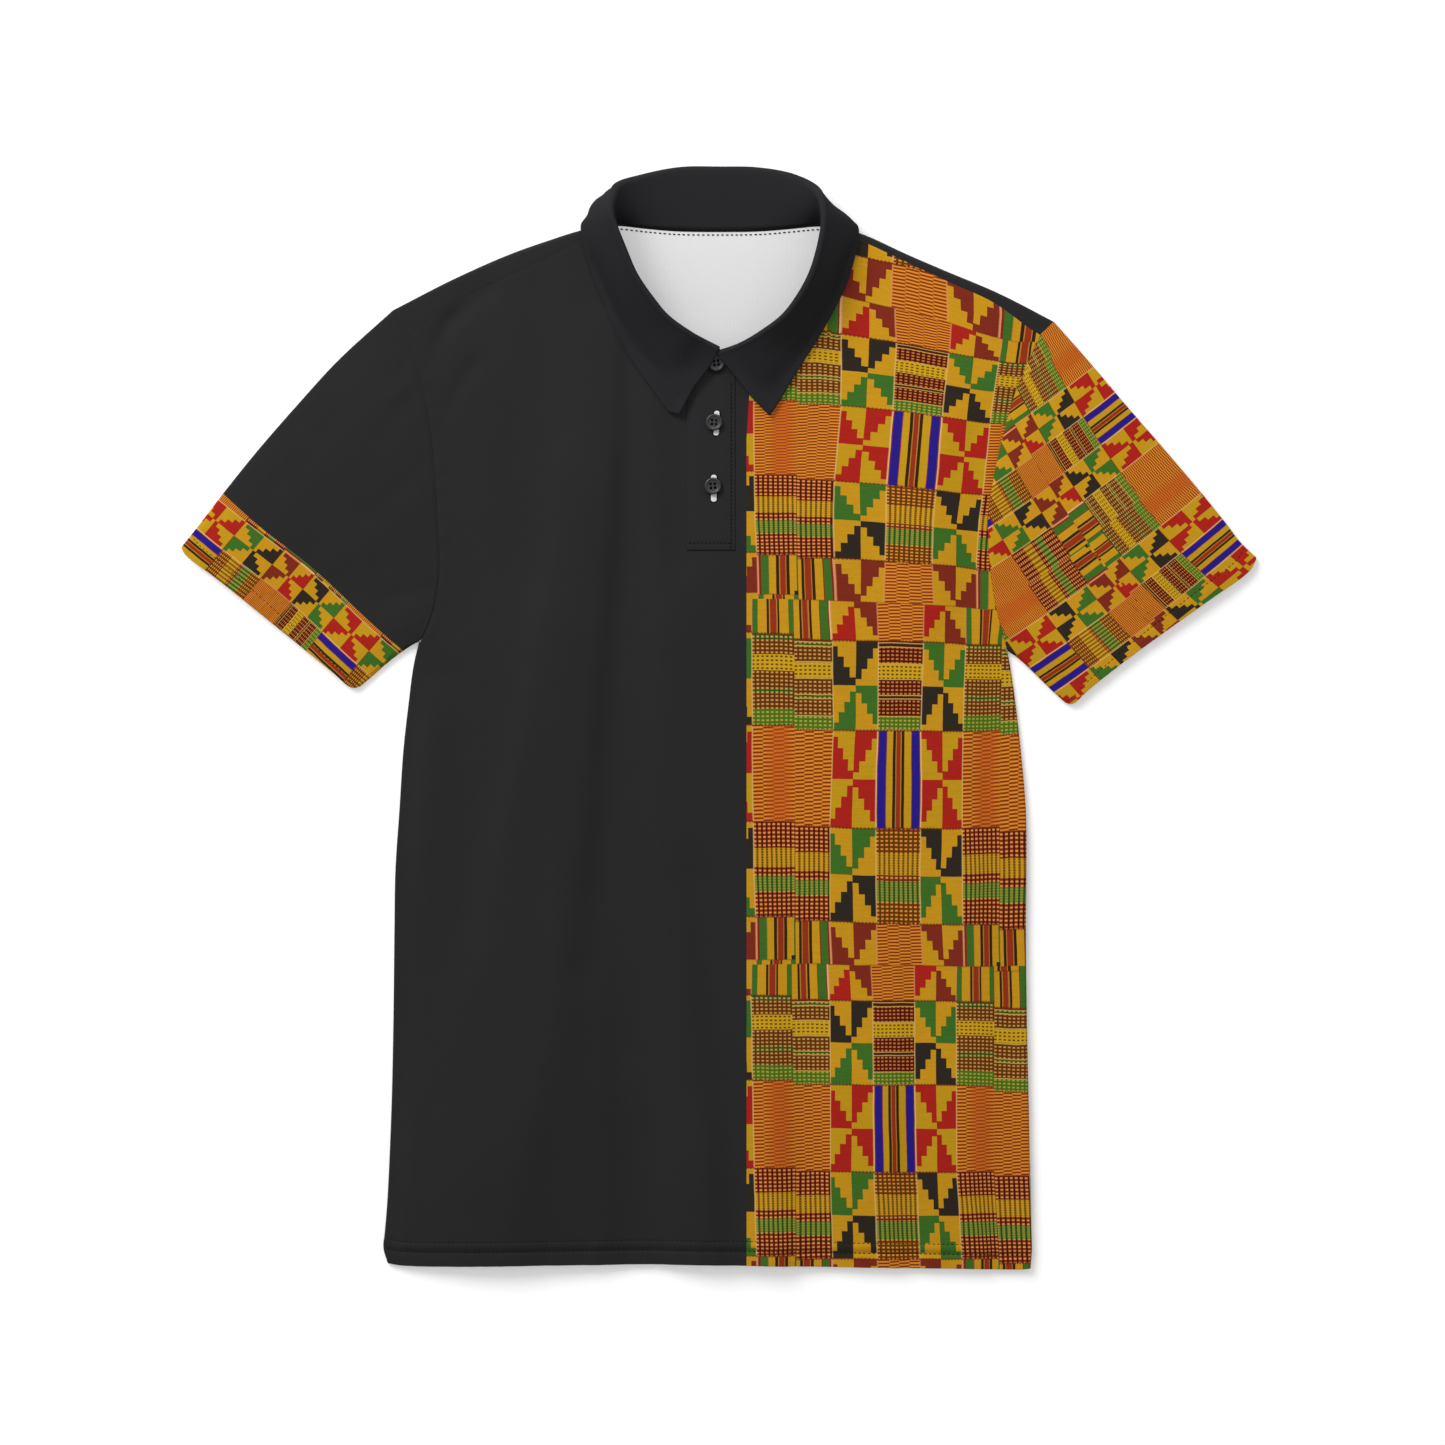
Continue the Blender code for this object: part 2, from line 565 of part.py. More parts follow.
# ------------------------------------------------------------------ collar
# Sections of the collar from the left front end round to the right one.
# Each runs from the neck seam up the stand, over the fold (crest point,
# radius r, plan direction aim, tilt of the turn) and down the leaf through
# mid and low to its edge.  A low or edge height of None lies on the front.
NAN = None
COLLAR = rows("sx sy sz  fx fy fz  r aim tilt  mx my mz  lx ly lz  ex ey ez",
    (-1.8, 255.6, NAN, -1.6, 260.3, 16.0, 1.6, -115, 55, -12.0, 240.0, 12.8, -20.5, 226.8, NAN, -28.8, 213.0, NAN),
    (-12.4, 258.4, NAN, -9.5, 265.2, 17.5, 1.6, -121, 53, -22.5, 244.5, 12.6, -30.0, 231.0, NAN, -35.6, 214.4, NAN),
    (-23.2, 262.9, NAN, -18.6, 269.8, 19.5, 1.6, -128, 50, -34.5, 250.5, 13.0, -40.0, 238.5, NAN, -43.5, 225.0, NAN),
    (-40.3, 275.0, NAN, -34.7, 280.9, 23.5, 1.6, -138, 42, -50.0, 265.0, 14.2, -55.0, 254.0, NAN, -58.5, 245.6, NAN),
    (-50.8, 287.0, NAN, -44.5, 292.0, 26.5, 1.6, -146, 36, -60.0, 278.0, 15.5, -65.0, 269.6, NAN, -68.7, 262.4, NAN),
    (-63.7, 304.4, NAN, -56.4, 308.8, 29.2, 1.6, -158, 26, -71.5, 299.0, 17.5, -77.0, 292.5, NAN, -80.6, 288.6, NAN),
    (-72.0, 322.3, NAN, -64.0, 325.5, 31.0, 1.6, -168, 16, -79.5, 320.0, 19.0, -86.5, 315.0, NAN, -90.6, 313.2, NAN),
    (-76.0, 337.5, NAN, -70.6, 341.8, 31.5, 1.6, -176, 9, -85.5, 338.8, 19.0, -92.0, 336.0, 12.4, -95.7, 334.0, NAN),
    (-76.2, 344.6, 4.6, -73.6, 352.0, 30.0, 1.8, 168, 0, -87.5, 350.5, 17.5, -93.0, 349.0, 11.0, -96.0, 345.6, 7.6),
    (-71.5, 347.0, 3.6, -73.2, 361.2, 26.0, 2.2, 148, -20, -83.5, 359.6, 13.0, -88.0, 353.5, 4.2, -86.0, 345.0, 1.0),
    (-60.0, 344.6, 3.2, -70.6, 371.6, 15.0, 3.0, 130, -52, -72.5, 368.0, 6.0, -71.0, 360.5, 1.6, -68.0, 338.6, 0.95),
    (-42.0, 342.6, 3.1, -53.0, 381.4, 7.0, 3.0, 108, -78, -51.5, 375.0, 1.5, -50.0, 362.0, 0.95, -47.0, 335.6, 0.95),
    (-21.0, 341.3, 3.05, -27.0, 385.1, 3.75, 2.65, 96, -88, -26.5, 378.0, 1.0, -26.0, 362.0, 0.95, -24.0, 334.2, 0.95),
    (0.0, 340.9, 3.05, 0.0, 385.4, 3.6, 2.55, 90, -90, 0.0, 378.0, 0.95, 0.0, 362.0, 0.95, 0.0, 334.0, 0.95),
    (21.0, 341.3, 3.05, 26.0, 384.9, 3.75, 2.65, 85, -88, 25.5, 378.0, 1.0, 25.0, 362.0, 0.95, 24.0, 334.2, 0.95),
    (41.0, 342.7, 3.1, 50.5, 381.0, 7.0, 3.0, 72, -78, 49.5, 375.0, 1.5, 48.5, 362.0, 0.95, 46.5, 335.6, 0.95),
    (58.0, 344.6, 3.2, 67.4, 373.0, 15.0, 3.0, 52, -52, 69.5, 369.0, 6.0, 69.0, 361.0, 1.6, 67.0, 338.4, 0.95),
    (70.0, 346.6, 3.6, 69.0, 361.4, 26.0, 2.2, 34, -20, 80.5, 359.5, 13.0, 86.0, 353.0, 4.2, 84.5, 344.6, 1.0),
    (75.6, 344.0, 4.6, 70.2, 352.0, 30.0, 1.8, 12, 0, 85.5, 350.0, 17.5, 92.5, 347.0, 11.0, 96.2, 343.8, 7.6),
    (75.8, 337.5, NAN, 70.0, 341.8, 31.5, 1.6, 0, 9, 85.5, 339.0, 19.0, 93.0, 337.0, 12.4, 97.0, 334.6, NAN),
    (75.2, 325.0, NAN, 66.9, 325.8, 31.2, 1.6, -9, 16, 83.0, 322.5, 19.2, 90.0, 321.0, NAN, 94.3, 320.0, NAN),
    (70.6, 309.0, NAN, 61.5, 309.4, 29.8, 1.6, -18, 24, 77.5, 304.5, 17.8, 84.0, 301.5, NAN, 87.8, 300.6, NAN),
    (60.5, 291.0, NAN, 52.6, 293.6, 27.5, 1.6, -30, 33, 67.0, 285.5, 16.0, 73.0, 281.0, NAN, 77.0, 279.2, NAN),
    (48.2, 275.2, NAN, 42.4, 280.9, 25.0, 1.6, -38, 40, 56.5, 268.5, 14.6, 62.0, 262.5, NAN, 65.8, 260.0, NAN),
    (34.5, 266.0, NAN, 28.5, 270.8, 21.5, 1.6, -46, 46, 43.0, 254.5, 13.2, 49.5, 247.0, NAN, 55.0, 243.4, NAN),
    (20.7, 258.6, NAN, 17.2, 264.2, 19.0, 1.6, -55, 50, 32.0, 242.5, 12.8, 39.0, 232.5, NAN, 45.0, 226.6, NAN),
    (10.4, 255.4, NAN, 8.8, 260.8, 17.2, 1.6, -60, 53, 20.5, 239.5, 12.6, 29.0, 228.5, NAN, 38.6, 216.4, NAN),
    (0.4, 254.4, NAN, 0.4, 257.9, 16.0, 1.6, -64, 55, 9.0, 240.0, 12.8, 20.4, 226.6, NAN, 34.6, 212.8, NAN))


def lay_z(x, y):
    """Middle of a double ply that lies on the front, or on the placket."""
    over = smooth(-33, -24, x) * (1 - smooth(12, 21, x))
    return front_z(x, y) + 0.35 + DOUBLE / 2 + 0.35 + 1.75 * float(over)


def collar_section(c, n_stand=4, n_leaf=7):
    """Points of one section, from the seam to the leaf's edge."""
    seam = np.array([c["sx"], c["sy"], c["sz"] if c["sz"] is not None
                     else front_z(c["sx"], c["sy"]) - CLOTH / 2])
    crest = np.array([c["fx"], c["fy"], c["fz"]])
    aim, tilt, r = math.radians(c["aim"]), math.radians(c["tilt"]), c["r"]
    q = np.array([math.cos(aim), math.sin(aim), 0])
    up = np.array([0, 0, 1.0])
    across = q * math.cos(tilt) + up * math.sin(tilt)
    peak = -q * math.sin(tilt) + up * math.cos(tilt)
    mid_c = crest - r * peak
    turn = [mid_c - across * r * math.cos(a) + peak * r * math.sin(a)
            for a in (0, math.pi / 4, math.pi / 2, 3 * math.pi / 4, math.pi)]
    mid = np.array([c["mx"], c["my"], c["mz"]])
    low = np.array([c["lx"], c["ly"], 0.0])
    low[2] = c["lz"] if c["lz"] is not None else lay_z(low[0], low[1]) + 1.2
    edge = np.array([c["ex"], c["ey"], 0.0])
    edge[2] = c["ez"] if c["ez"] is not None else lay_z(edge[0], edge[1])
    stand = Curve([dict(x=a, y=b, z=d) for a, b, d in
                   (seam, seam + (turn[0] - seam) * 0.5 - across * 0.4, turn[0])],
                  "x y z")
    # Read by three-dimensional length, so that steep parts keep their points.
    def spread(points, n):
        cu = Curve([dict(x=p[0], y=p[1], z=p[2]) for p in points], "x y z")
        d = np.concatenate([[0], np.cumsum(np.linalg.norm(np.diff(cu.p, axis=0), axis=1))])
        return [np.array([np.interp(k * d[-1], d, cu.p[:, a]) for a in range(3)])
                for k in np.linspace(0, 1, n + 1)]
    a = spread([seam, seam + (turn[0] - seam) * 0.5 - across * 0.4, turn[0]], n_stand)
    b = spread([turn[4], mid, low, edge], n_leaf)
    return a[:-1] + turn + b[1:]


def collar_grid(steps=1):
    """All sections, with steps-1 smooth ones between each two of the table."""
    base = np.array([collar_section(c) for c in COLLAR])
    if steps == 1:
        return base
    out = []
    for k in range(base.shape[1]):
        cu = Curve([dict(x=p[0], y=p[1], z=p[2]) for p in base[:, k]], "x y z", steps)
        out.append(cu.p)
    return np.array(out).transpose(1, 0, 2)


def make_collar(material):
    grid = collar_grid(1)
    n, m, _ = grid.shape
    normal = np.zeros_like(grid)
    for i in range(n):
        for j in range(m):
            a = grid[min(i + 1, n - 1), j] - grid[max(i - 1, 0), j]
            b = grid[i, min(j + 1, m - 1)] - grid[i, max(j - 1, 0)]
            v = np.cross(a, b)
            normal[i, j] = v / np.linalg.norm(v)
    sheet = Sheet()
    for i in range(n):
        for j in range(m):
            o = grid[i, j] + normal[i, j] * DOUBLE / 2
            q = grid[i, j] - normal[i, j] * DOUBLE / 2
            o[2], q[2] = max(o[2], 0.0), max(q[2], 0.0)
            sheet.put((i, j), o, q)
    for i in range(n - 1):
        for j in range(m - 1):
            sheet.quad((i, j), (i + 1, j), (i + 1, j + 1), (i, j + 1))
    return sheet.build("collar", material)


# ----------------------------------------------------------------- placket
def make_strip(name, x_a, x_b, foot, lift, thick, material, n_x=3, n_y=9):
    """A placket piece: a strip that follows the front, from foot to neck."""
    sheet = Sheet()
    xs = sorted(set(list(np.linspace(x_a, x_b, n_x)) + [-0.9, -0.5]))
    for i, x in enumerate(xs):
        top = neck_edge(x)
        for j in range(n_y + 1):
            y = foot + (top - foot) * j / n_y
            z = front_z(x, y) + lift
            sheet.put((i, j), (x, y, z + thick), (x, y, z))
    for i in range(len(xs) - 1):
        for j in range(n_y):
            sheet.quad((i, j), (i + 1, j), (i + 1, j + 1), (i, j + 1))
    return sheet.build(name, material)


# ----------------------------------------------------------------- buttons
BUTTONS = rows("x y", (-1.8, 248.0), (-3.8, 206.9), (-4.6, 162.3))
BUTTON_PROFILE = rows("r z",
    (0.0, 0.0), (0.72, 0.0), (0.93, 0.22), (1.0, 0.5), (0.97, 0.85),
    (0.86, 1.0), (0.74, 0.93), (0.62, 0.68), (0.0, 0.62))
HOLE_R, HOLE_AT = 0.75, 1.35


def make_button(name, x, y, z, material, seg=28):
    """A turned disc with a rim and four holes."""
    bm = bmesh.new()
    rings = []
    for p in BUTTON_PROFILE[1:-1]:
        rings.append([bm.verts.new((BUTTON_R * p["r"] * math.cos(2 * math.pi * k / seg) * MM,
                                    BUTTON_R * p["r"] * math.sin(2 * math.pi * k / seg) * MM,
                                    BUTTON_T * p["z"] * MM)) for k in range(seg)])
    for a, b in zip(rings, rings[1:]):
        for k in range(seg):
            bm.faces.new((a[k], a[(k + 1) % seg], b[(k + 1) % seg], b[k]))
    bm.faces.new(list(reversed(rings[0])))
    bm.faces.new(rings[-1])
    bmesh.ops.recalc_face_normals(bm, faces=bm.faces)
    obj = finish(bm, name, material, 35)
    obj.location = (x * MM, y * MM, z * MM)
    cut = bmesh.new()
    for sx in (-1, 1):
        for sy in (-1, 1):
            made = bmesh.ops.create_cone(cut, cap_ends=True, segments=12,
                                         radius1=HOLE_R * MM, radius2=HOLE_R * MM,
                                         depth=4 * BUTTON_T * MM)
            bmesh.ops.translate(cut, verts=made["verts"],
                                vec=(sx * HOLE_AT * MM, sy * HOLE_AT * MM, 0))
    cutter = finish(cut, name + "_holes", material)
    cutter.parent = obj
    cutter.hide_render = True
    cutter.display_type = "WIRE"
    mod = obj.modifiers.new("holes", "BOOLEAN")
    mod.operation = "DIFFERENCE"
    mod.solver = "EXACT"
    mod.object = cutter
    return obj


def main():
    for obj in list(bpy.data.objects):
        bpy.data.objects.remove(obj, do_unlink=True)
    charcoal = (0.024, 0.024, 0.024)
    make_back(cloth("back_cloth", charcoal))
    make_front(cloth("front_cloth", (0.3, 0.14, 0.02)))
    make_sleeve("sleeve_left", True, cloth("sleeve_left_cloth", charcoal))
    make_sleeve("sleeve_right", False, cloth("sleeve_right_cloth", (0.55, 0.22, 0.03)))
    make_collar(cloth("collar_cloth", (0.02, 0.021, 0.025)))
    make_strip("placket_under", SLOT[0] + SEAM, SLOT[1] - SEAM, SLOT_FOOT + SEAM,
               -CLOTH, CLOTH, cloth("placket_under_cloth", charcoal))
    make_strip("placket_upper", *PLACKET_X, PLACKET_FOOT, 0.35, PLACKET,
               cloth("placket_upper_cloth", (0.02, 0.021, 0.025)))
    for i, b in enumerate(BUTTONS, 1):
        z = front_z(b["x"], b["y"]) + 0.35 + PLACKET + 0.3
        make_button("button_%d" % i, b["x"], b["y"], z,
                    cloth("button_%d_resin" % i, (0.03, 0.03, 0.035), 0.35))


main()
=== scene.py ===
"""Looks of a short-sleeved polo shirt laid flat on its back, front up.

Every cloth piece is a thin two-faced shell on the form of its solid: printed
or dyed outside, white inside.  One half of the front, one sleeve and the band
One half of the front, one sleeve and the band of the other carry a traditional
kente strip-weave pattern, charted as a repeat of five strips by five rows and
drawn with shader nodes.

Frame as in model.glb: metres, +Z up, +Y towards the collar, +X to the printed half.
Tables are in millimetres, or in chart units of 0.7 mm (x right, y down).
"""
import math

import bmesh
import bpy
import numpy as np
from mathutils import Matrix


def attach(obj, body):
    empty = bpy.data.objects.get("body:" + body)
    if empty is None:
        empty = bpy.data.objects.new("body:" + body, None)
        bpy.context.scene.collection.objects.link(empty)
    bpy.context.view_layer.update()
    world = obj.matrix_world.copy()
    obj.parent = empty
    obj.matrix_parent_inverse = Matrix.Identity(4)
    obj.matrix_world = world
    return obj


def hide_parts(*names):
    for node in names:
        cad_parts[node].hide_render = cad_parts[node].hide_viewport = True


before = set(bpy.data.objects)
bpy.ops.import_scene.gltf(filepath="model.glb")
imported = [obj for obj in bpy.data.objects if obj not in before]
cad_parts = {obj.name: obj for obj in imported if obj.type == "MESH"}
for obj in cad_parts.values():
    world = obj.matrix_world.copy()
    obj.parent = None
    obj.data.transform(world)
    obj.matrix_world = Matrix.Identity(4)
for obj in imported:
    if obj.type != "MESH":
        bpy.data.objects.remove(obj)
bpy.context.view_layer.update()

MM = 0.001
RNG = np.random.default_rng(7)

# ------------------------------------------------------------- sizes, mm
PLY = 0.9              # one thickness of the cloth
DOUBLE = 1.8           # collar, two plies
PLACKET = 1.15
PLACKET_LIFT = 0.12
SEAM = 0.15            # what shows between two panels at a seam
FOLD_R = 1.9
SIDE_TOP = 3.2
PANEL_TOP = 5.2
NECK_RISE = 1.0
LEAF_LIFT = 2.15
SLOT = (-20.6, 8.7)
SLOT_FOOT = 122.6
PLACKET_X = (-22.8, 10.9)
PLACKET_FOOT = 117.4
BUTTON_R = 5.9
BUTTON_T = 2.3
CHART = 0.7            # millimetres for one chart unit
CHART_0 = (719.5, 718.0)
PRINT_X = 18.9         # where the print begins on the front


def rows(names, *values):
    """A small table: one dict for each row, with named columns."""
    names = names.split()
    return [dict(zip(names, v)) for v in values]


def smooth(a, b, x):
    t = np.clip((np.asarray(x, float) - a) / (b - a), 0.0, 1.0)
    return t * t * (3 - 2 * t)


def bell(d, w):
    return np.exp(-0.5 * (np.asarray(d, float) / w) ** 2)


class Curve:
    """A smooth curve through the rows of a table, read by length, x or y."""

    def __init__(self, table, names="x y", steps=14):
        p = np.array([[r[n] for n in names.split()] for r in table], float)
        q = np.vstack([2 * p[0] - p[1], p, 2 * p[-1] - p[-2]])
        out = []
        for i in range(1, len(q) - 2):
            a, b, c, d = q[i - 1:i + 3]
            k = [0.0]
            for m, n in ((a, b), (b, c), (c, d)):
                k.append(k[-1] + max(np.linalg.norm(n - m), 1e-6) ** 0.5)
            for j in range(steps):
                t = k[1] + (k[2] - k[1]) * j / steps
                l1 = (k[1] - t) / (k[1] - k[0]) * a + (t - k[0]) / (k[1] - k[0]) * b
                l2 = (k[2] - t) / (k[2] - k[1]) * b + (t - k[1]) / (k[2] - k[1]) * c
                l3 = (k[3] - t) / (k[3] - k[2]) * c + (t - k[2]) / (k[3] - k[2]) * d
                m1 = (k[2] - t) / (k[2] - k[0]) * l1 + (t - k[0]) / (k[2] - k[0]) * l2
                m2 = (k[3] - t) / (k[3] - k[1]) * l2 + (t - k[1]) / (k[3] - k[1]) * l3
                out.append((k[2] - t) / (k[2] - k[1]) * m1 + (t - k[1]) / (k[2] - k[1]) * m2)
        out.append(p[-1])
        self.p = np.array(out)
        step = np.linalg.norm(np.diff(self.p[:, :2], axis=0), axis=1)
        self.s = np.concatenate([[0], np.cumsum(step)])
        self.length = self.s[-1]
        self.s = self.s / self.length

    def at(self, s):
        """Points at shares of the length: one row for each share."""
        s = np.asarray(s, float)
        return np.stack([np.interp(s, self.s, self.p[:, k])
                         for k in range(self.p.shape[1])], -1)

    def _read(self, a, b, v):
        p = self.p[np.argsort(self.p[:, a], kind="stable")]
        return np.interp(v, p[:, a], p[:, b])

    def x_at(self, y):
        return self._read(1, 0, y)

    def y_at(self, x):
        return self._read(0, 1, x)

    def tangent(self, s):
        d = self.at(np.minimum(s + 0.004, 1)) - self.at(np.maximum(s - 0.004, 0))
        return d / np.linalg.norm(d, axis=-1, keepdims=True)


# ------------------------------------------------------ outline, mm, flat
HEM = Curve(rows("x y",
    (-233, -381.4), (-226, -382.9), (-120, -382.6), (0, -382.4), (90, -384.3),
    (160, -385.2), (214, -385.7), (218, -385.0)))
SIDE_L = Curve(rows("x y",
    (-232.6, -381.6), (-235.6, -372), (-234.6, -360), (-232.8, -337.4),
    (-230, -274.4), (-228.6, -211.4), (-227.9, -148.4), (-227.2, -106.4),
    (-224.4, -64.4), (-221.6, -22.4), (-218.1, 9.1), (-214.6, 36),
    (-210.5, 53.6)))
SIDE_R = Curve(rows("x y",
    (217.8, -385.2), (218.8, -372), (218.5, -355), (218.1, -337.4),
    (216.7, -274.4), (215.3, -211.4), (214.6, -148.4), (215, -106.4),
    (214.6, -64.4), (211.1, -22.4), (207.6, 9.1), (204.4, 32), (201.7, 47.3)))
ARM_L = Curve(rows("x y",
    (-210.5, 53.6), (-204.8, 63), (-200, 77.7), (-196.4, 103), (-197.8, 137),
    (-199.9, 173.6), (-204, 208.6), (-213.2, 248.5), (-228.5, 286.0)))
ARM_R = Curve(rows("x y",
    (201.7, 47.3), (193.9, 76.8), (190, 102.3), (188, 129.8), (189, 149.5),
    (192.9, 173), (199.9, 202.5), (207.6, 229), (218.5, 255.5),
    (225.3, 269.3), (234.2, 277.8)))
# The shoulder fold, from the neck to the sleeve, and the seam in front of it.
FOLD_L = Curve(rows("x y",
    (-79.5, 346.5), (-88, 344.2), (-96, 341.8), (-104.5, 339.4),
    (-114.5, 336.2), (-145.3, 325.5), (-183.8, 308.7), (-228.5, 286.0)))
FOLD_R_ = Curve(rows("x y",
    (80, 345.2), (88, 343.0), (97, 340.0), (106.8, 336.2), (129.9, 325.5),
    (155.8, 314.3), (195.7, 297.5), (234.2, 277.8)))
SEAM_L = Curve(rows("x y",
    (-78.5, 340.6), (-96, 334.8), (-113, 326.4), (-150, 308.6),
    (-182, 293.8), (-209, 275.8), (-219.4, 265.0)))
SEAM_R = Curve(rows("x y",
    (80, 339.8), (96, 335.0), (105.1, 331.4), (122.5, 323.2), (159.3, 305.9),
    (191.3, 291.3), (219, 271.8), (225.0, 268.6)))
# The neck seam, from the centre front round to the centre back.
NECK_L = Curve(rows("x y",
    (-1.8, 255.6), (-12, 258.2), (-23.2, 262.9), (-40.3, 275.0),
    (-50.8, 287.0), (-63.7, 304.4), (-72.0, 322.3), (-76.0, 338.0)))
NECK_R = Curve(rows("x y",
    (0.4, 254.4), (10.5, 255.4), (20.7, 258.6), (34.5, 266.0), (48.2, 275.2),
    (60.5, 291.0), (70.6, 309.0), (75.2, 327.0), (75.8, 338.5)))
BACK_NECK = Curve(rows("x y",
    (-78.5, 344.6), (-70, 344.6), (-51.5, 342.6), (-30, 340.8), (0, 340.4),
    (28.8, 340.8), (50, 342.5), (69, 344.2), (79, 343.6)))
UNDER_L = Curve(rows("x y",
    (-210.9, 54.0), (-216.2, 51.2), (-230.7, 40.6), (-244, 28.8), (-252, 22.0)))
OVER_L = Curve(rows("x y",
    (-228.9, 286.3), (-267.8, 250.6), (-296.5, 219.1), (-323.8, 187.6),
    (-349, 156.1), (-365, 135.1), (-377.2, 119.7)))
HEM_L = Curve(rows("x y",
    (-252, 22.0), (-258, 21.6), (-270, 31.4), (-312, 65.6), (-350, 96.2),
    (-374, 114.6), (-377.2, 119.7)))
UNDER_R = Curve(rows("x y",
    (202.1, 47.7), (211.1, 40.9), (222.3, 30.1), (232.8, 19.6), (242.6, 10.6)))
OVER_R = Curve(rows("x y",
    (234.6, 278.0), (258.7, 250.6), (285.3, 219.1), (312.6, 187.6),
    (339.2, 156.1), (356, 135.1), (364.4, 123.9), (376.3, 112.4)))
HEM_R = Curve(rows("x y",
    (242.6, 10.6), (247.5, 10.2), (258, 19.6), (284.6, 40.6), (313.3, 61.6),
    (342.7, 82.6), (371.4, 103.6), (376.3, 112.4)))

# Main folds of the front, as in the solid: a soft ridge (+) or trough (-).
FOLDS = rows("x0 y0 x1 y1 x2 y2 width height",
    (-68, 250, -73, 60, -100, -175, 13, -1.5),
    (-100, -140, -110, -250, -105, -365, 15, -1.7),
    (-131, 60, -150, -40, -166, -150, 24, 2.0),
    (-40, 60, -48, -110, -62, -260, 26, 1.8),
    (-21, -120, -22, -190, -20, -270, 12, -1.1),
    (-189, 10, -190, -57, -180, -140, 20, -1.2),
    (-168, 298, -184, 276, -199, 250, 8, -0.8),
    (72, 120, 80, -60, 92, -240, 26, 1.3),
    (44, -60, 42, -180, 50, -330, 13, -1.1),
    (140, 190, 134, 60, 128, -60, 22, 1.2),
    (165, 40, 158, -90, 160, -240, 20, -1.0),
    (120, -190, 126, -270, 122, -360, 16, -1.0))
# The drape of the front: crests that run down the cloth, soft on their left
# and steeper on their right (y, x, height, width left, width right).
DRAPE = (
    rows("y x a l r", (290, -77, 0, 20, 5), (262, -74, 2.2, 22, 5.5), (200, -77, 3.6, 26, 6.5),
         (118, -82, 4.8, 30, 7.5), (24, -91, 5.7, 34, 9), (-70, -99, 7.0, 36, 12),
         (-150, -110, 8.8, 42, 17), (-190, -117, 9.6, 48, 20), (-232, -124, 10.0, 52, 22),
         (-268, -132, 10.2, 54, 24), (-302, -141, 10.0, 54, 25), (-337, -150, 9.2, 52, 26),
         (-372, -157, 7.8, 50, 27), (-400, -161, 6.8, 50, 28)),
    rows("y x a l r", (-120, -86, 0, 40, 10), (-190, -87, 2.2, 40, 11), (-260, -87, 3.6, 40, 12),
         (-330, -85, 4.2, 40, 12), (-400, -83, 3.6, 38, 12)),
    rows("y x a l r", (205, -106, 0, 8, 22), (168, -109, 1.5, 8, 22), (121, -112, 2.0, 8, 22),
         (70, -122, 2.3, 8, 20), (24, -128, 2.5, 8, 20), (-23, -137, 2.5, 8, 20),
         (-70, -147, 2.5, 8, 20), (-117, -155, 2.3, 9, 20), (-165, -161, 1.6, 9, 20),
         (-240, -168, 0, 9, 20)),
    rows("y x a l r", (30, -196, 0, 12, 12), (0, -199, 2.5, 14, 12), (-60, -202, 4.2, 15, 13),
         (-110, -203, 3.6, 15, 13), (-180, -206, 0, 14, 12)),
    rows("y x a l r", (20, -112, 0, 7, 9), (-60, -110, 1.2, 7, 9), (-150, -113, 1.3, 7, 9),
         (-220, -120, 0, 7, 9)),
    rows("y x a l r", (278, -57, 0, 8, 16), (250, -53, 1.6, 8, 16), (200, -47, 1.9, 9, 20),
         (118, -40, 1.9, 9, 20), (0, -38, 1.9, 9, 22), (-100, -36, 1.7, 9, 22),
         (-200, -33, 1.8, 9, 16), (-300, -31, 1.8, 9, 14), (-400, -29, 0.8, 9, 14)),
    rows("y x a l r", (-110, -27, 0, 12, 8), (-165, -25, 2.8, 14, 9), (-230, -20, 4.6, 17, 11),
         (-306, -14, 6.0, 20, 12), (-360, -11, 5.6, 20, 12), (-400, -9, 4.0, 20, 12)),
    rows("y x a l r", (190, 62, 0, 16, 8), (130, 68, 0.8, 18, 10), (40, 80, 1.4, 21, 15),
         (-70, 95, 2.0, 20, 20), (-190, 102, 2.6, 19, 24), (-300, 106, 2.8, 19, 26),
         (-400, 108, 1.8, 19, 26)),
    rows("y x a l r", (230, 138, 0, 16, 16), (180, 144, 1.8, 18, 20), (90, 143, 2.7, 18, 22),
         (0, 143, 2.8, 20, 22), (-110, 147, 2.0, 18, 20), (-180, 150, 0, 16, 16)),
    rows("y x a l r", (60, 170, 0, 14, 9), (0, 173, 2.2, 16, 11), (-100, 175, 3.4, 18, 12),
         (-220, 172, 3.8, 22, 15), (-330, 172, 3.2, 24, 16), (-400, 174, 1.8, 24, 16)),
    rows("y x a l r", (-150, 120, 0, 14, 7), (-220, 122, 2.0, 14, 8), (-310, 120, 2.6, 16, 8),
         (-400, 118, 1.0, 16, 8)),
    rows("y x a l r", (-60, 30, 0, 20, 8), (-140, 33, 2.4, 26, 10), (-240, 35, 4.4, 32, 12),
         (-340, 37, 5.4, 34, 13), (-400, 38, 4.6, 34, 13)))
# Where the hem stands a little off the surface: (x, height, width).
HEM_LIFT = ((-126, 1.6, 26), (36, 2.6, 28), (120, 0.4, 20), (196, 1.4, 16))
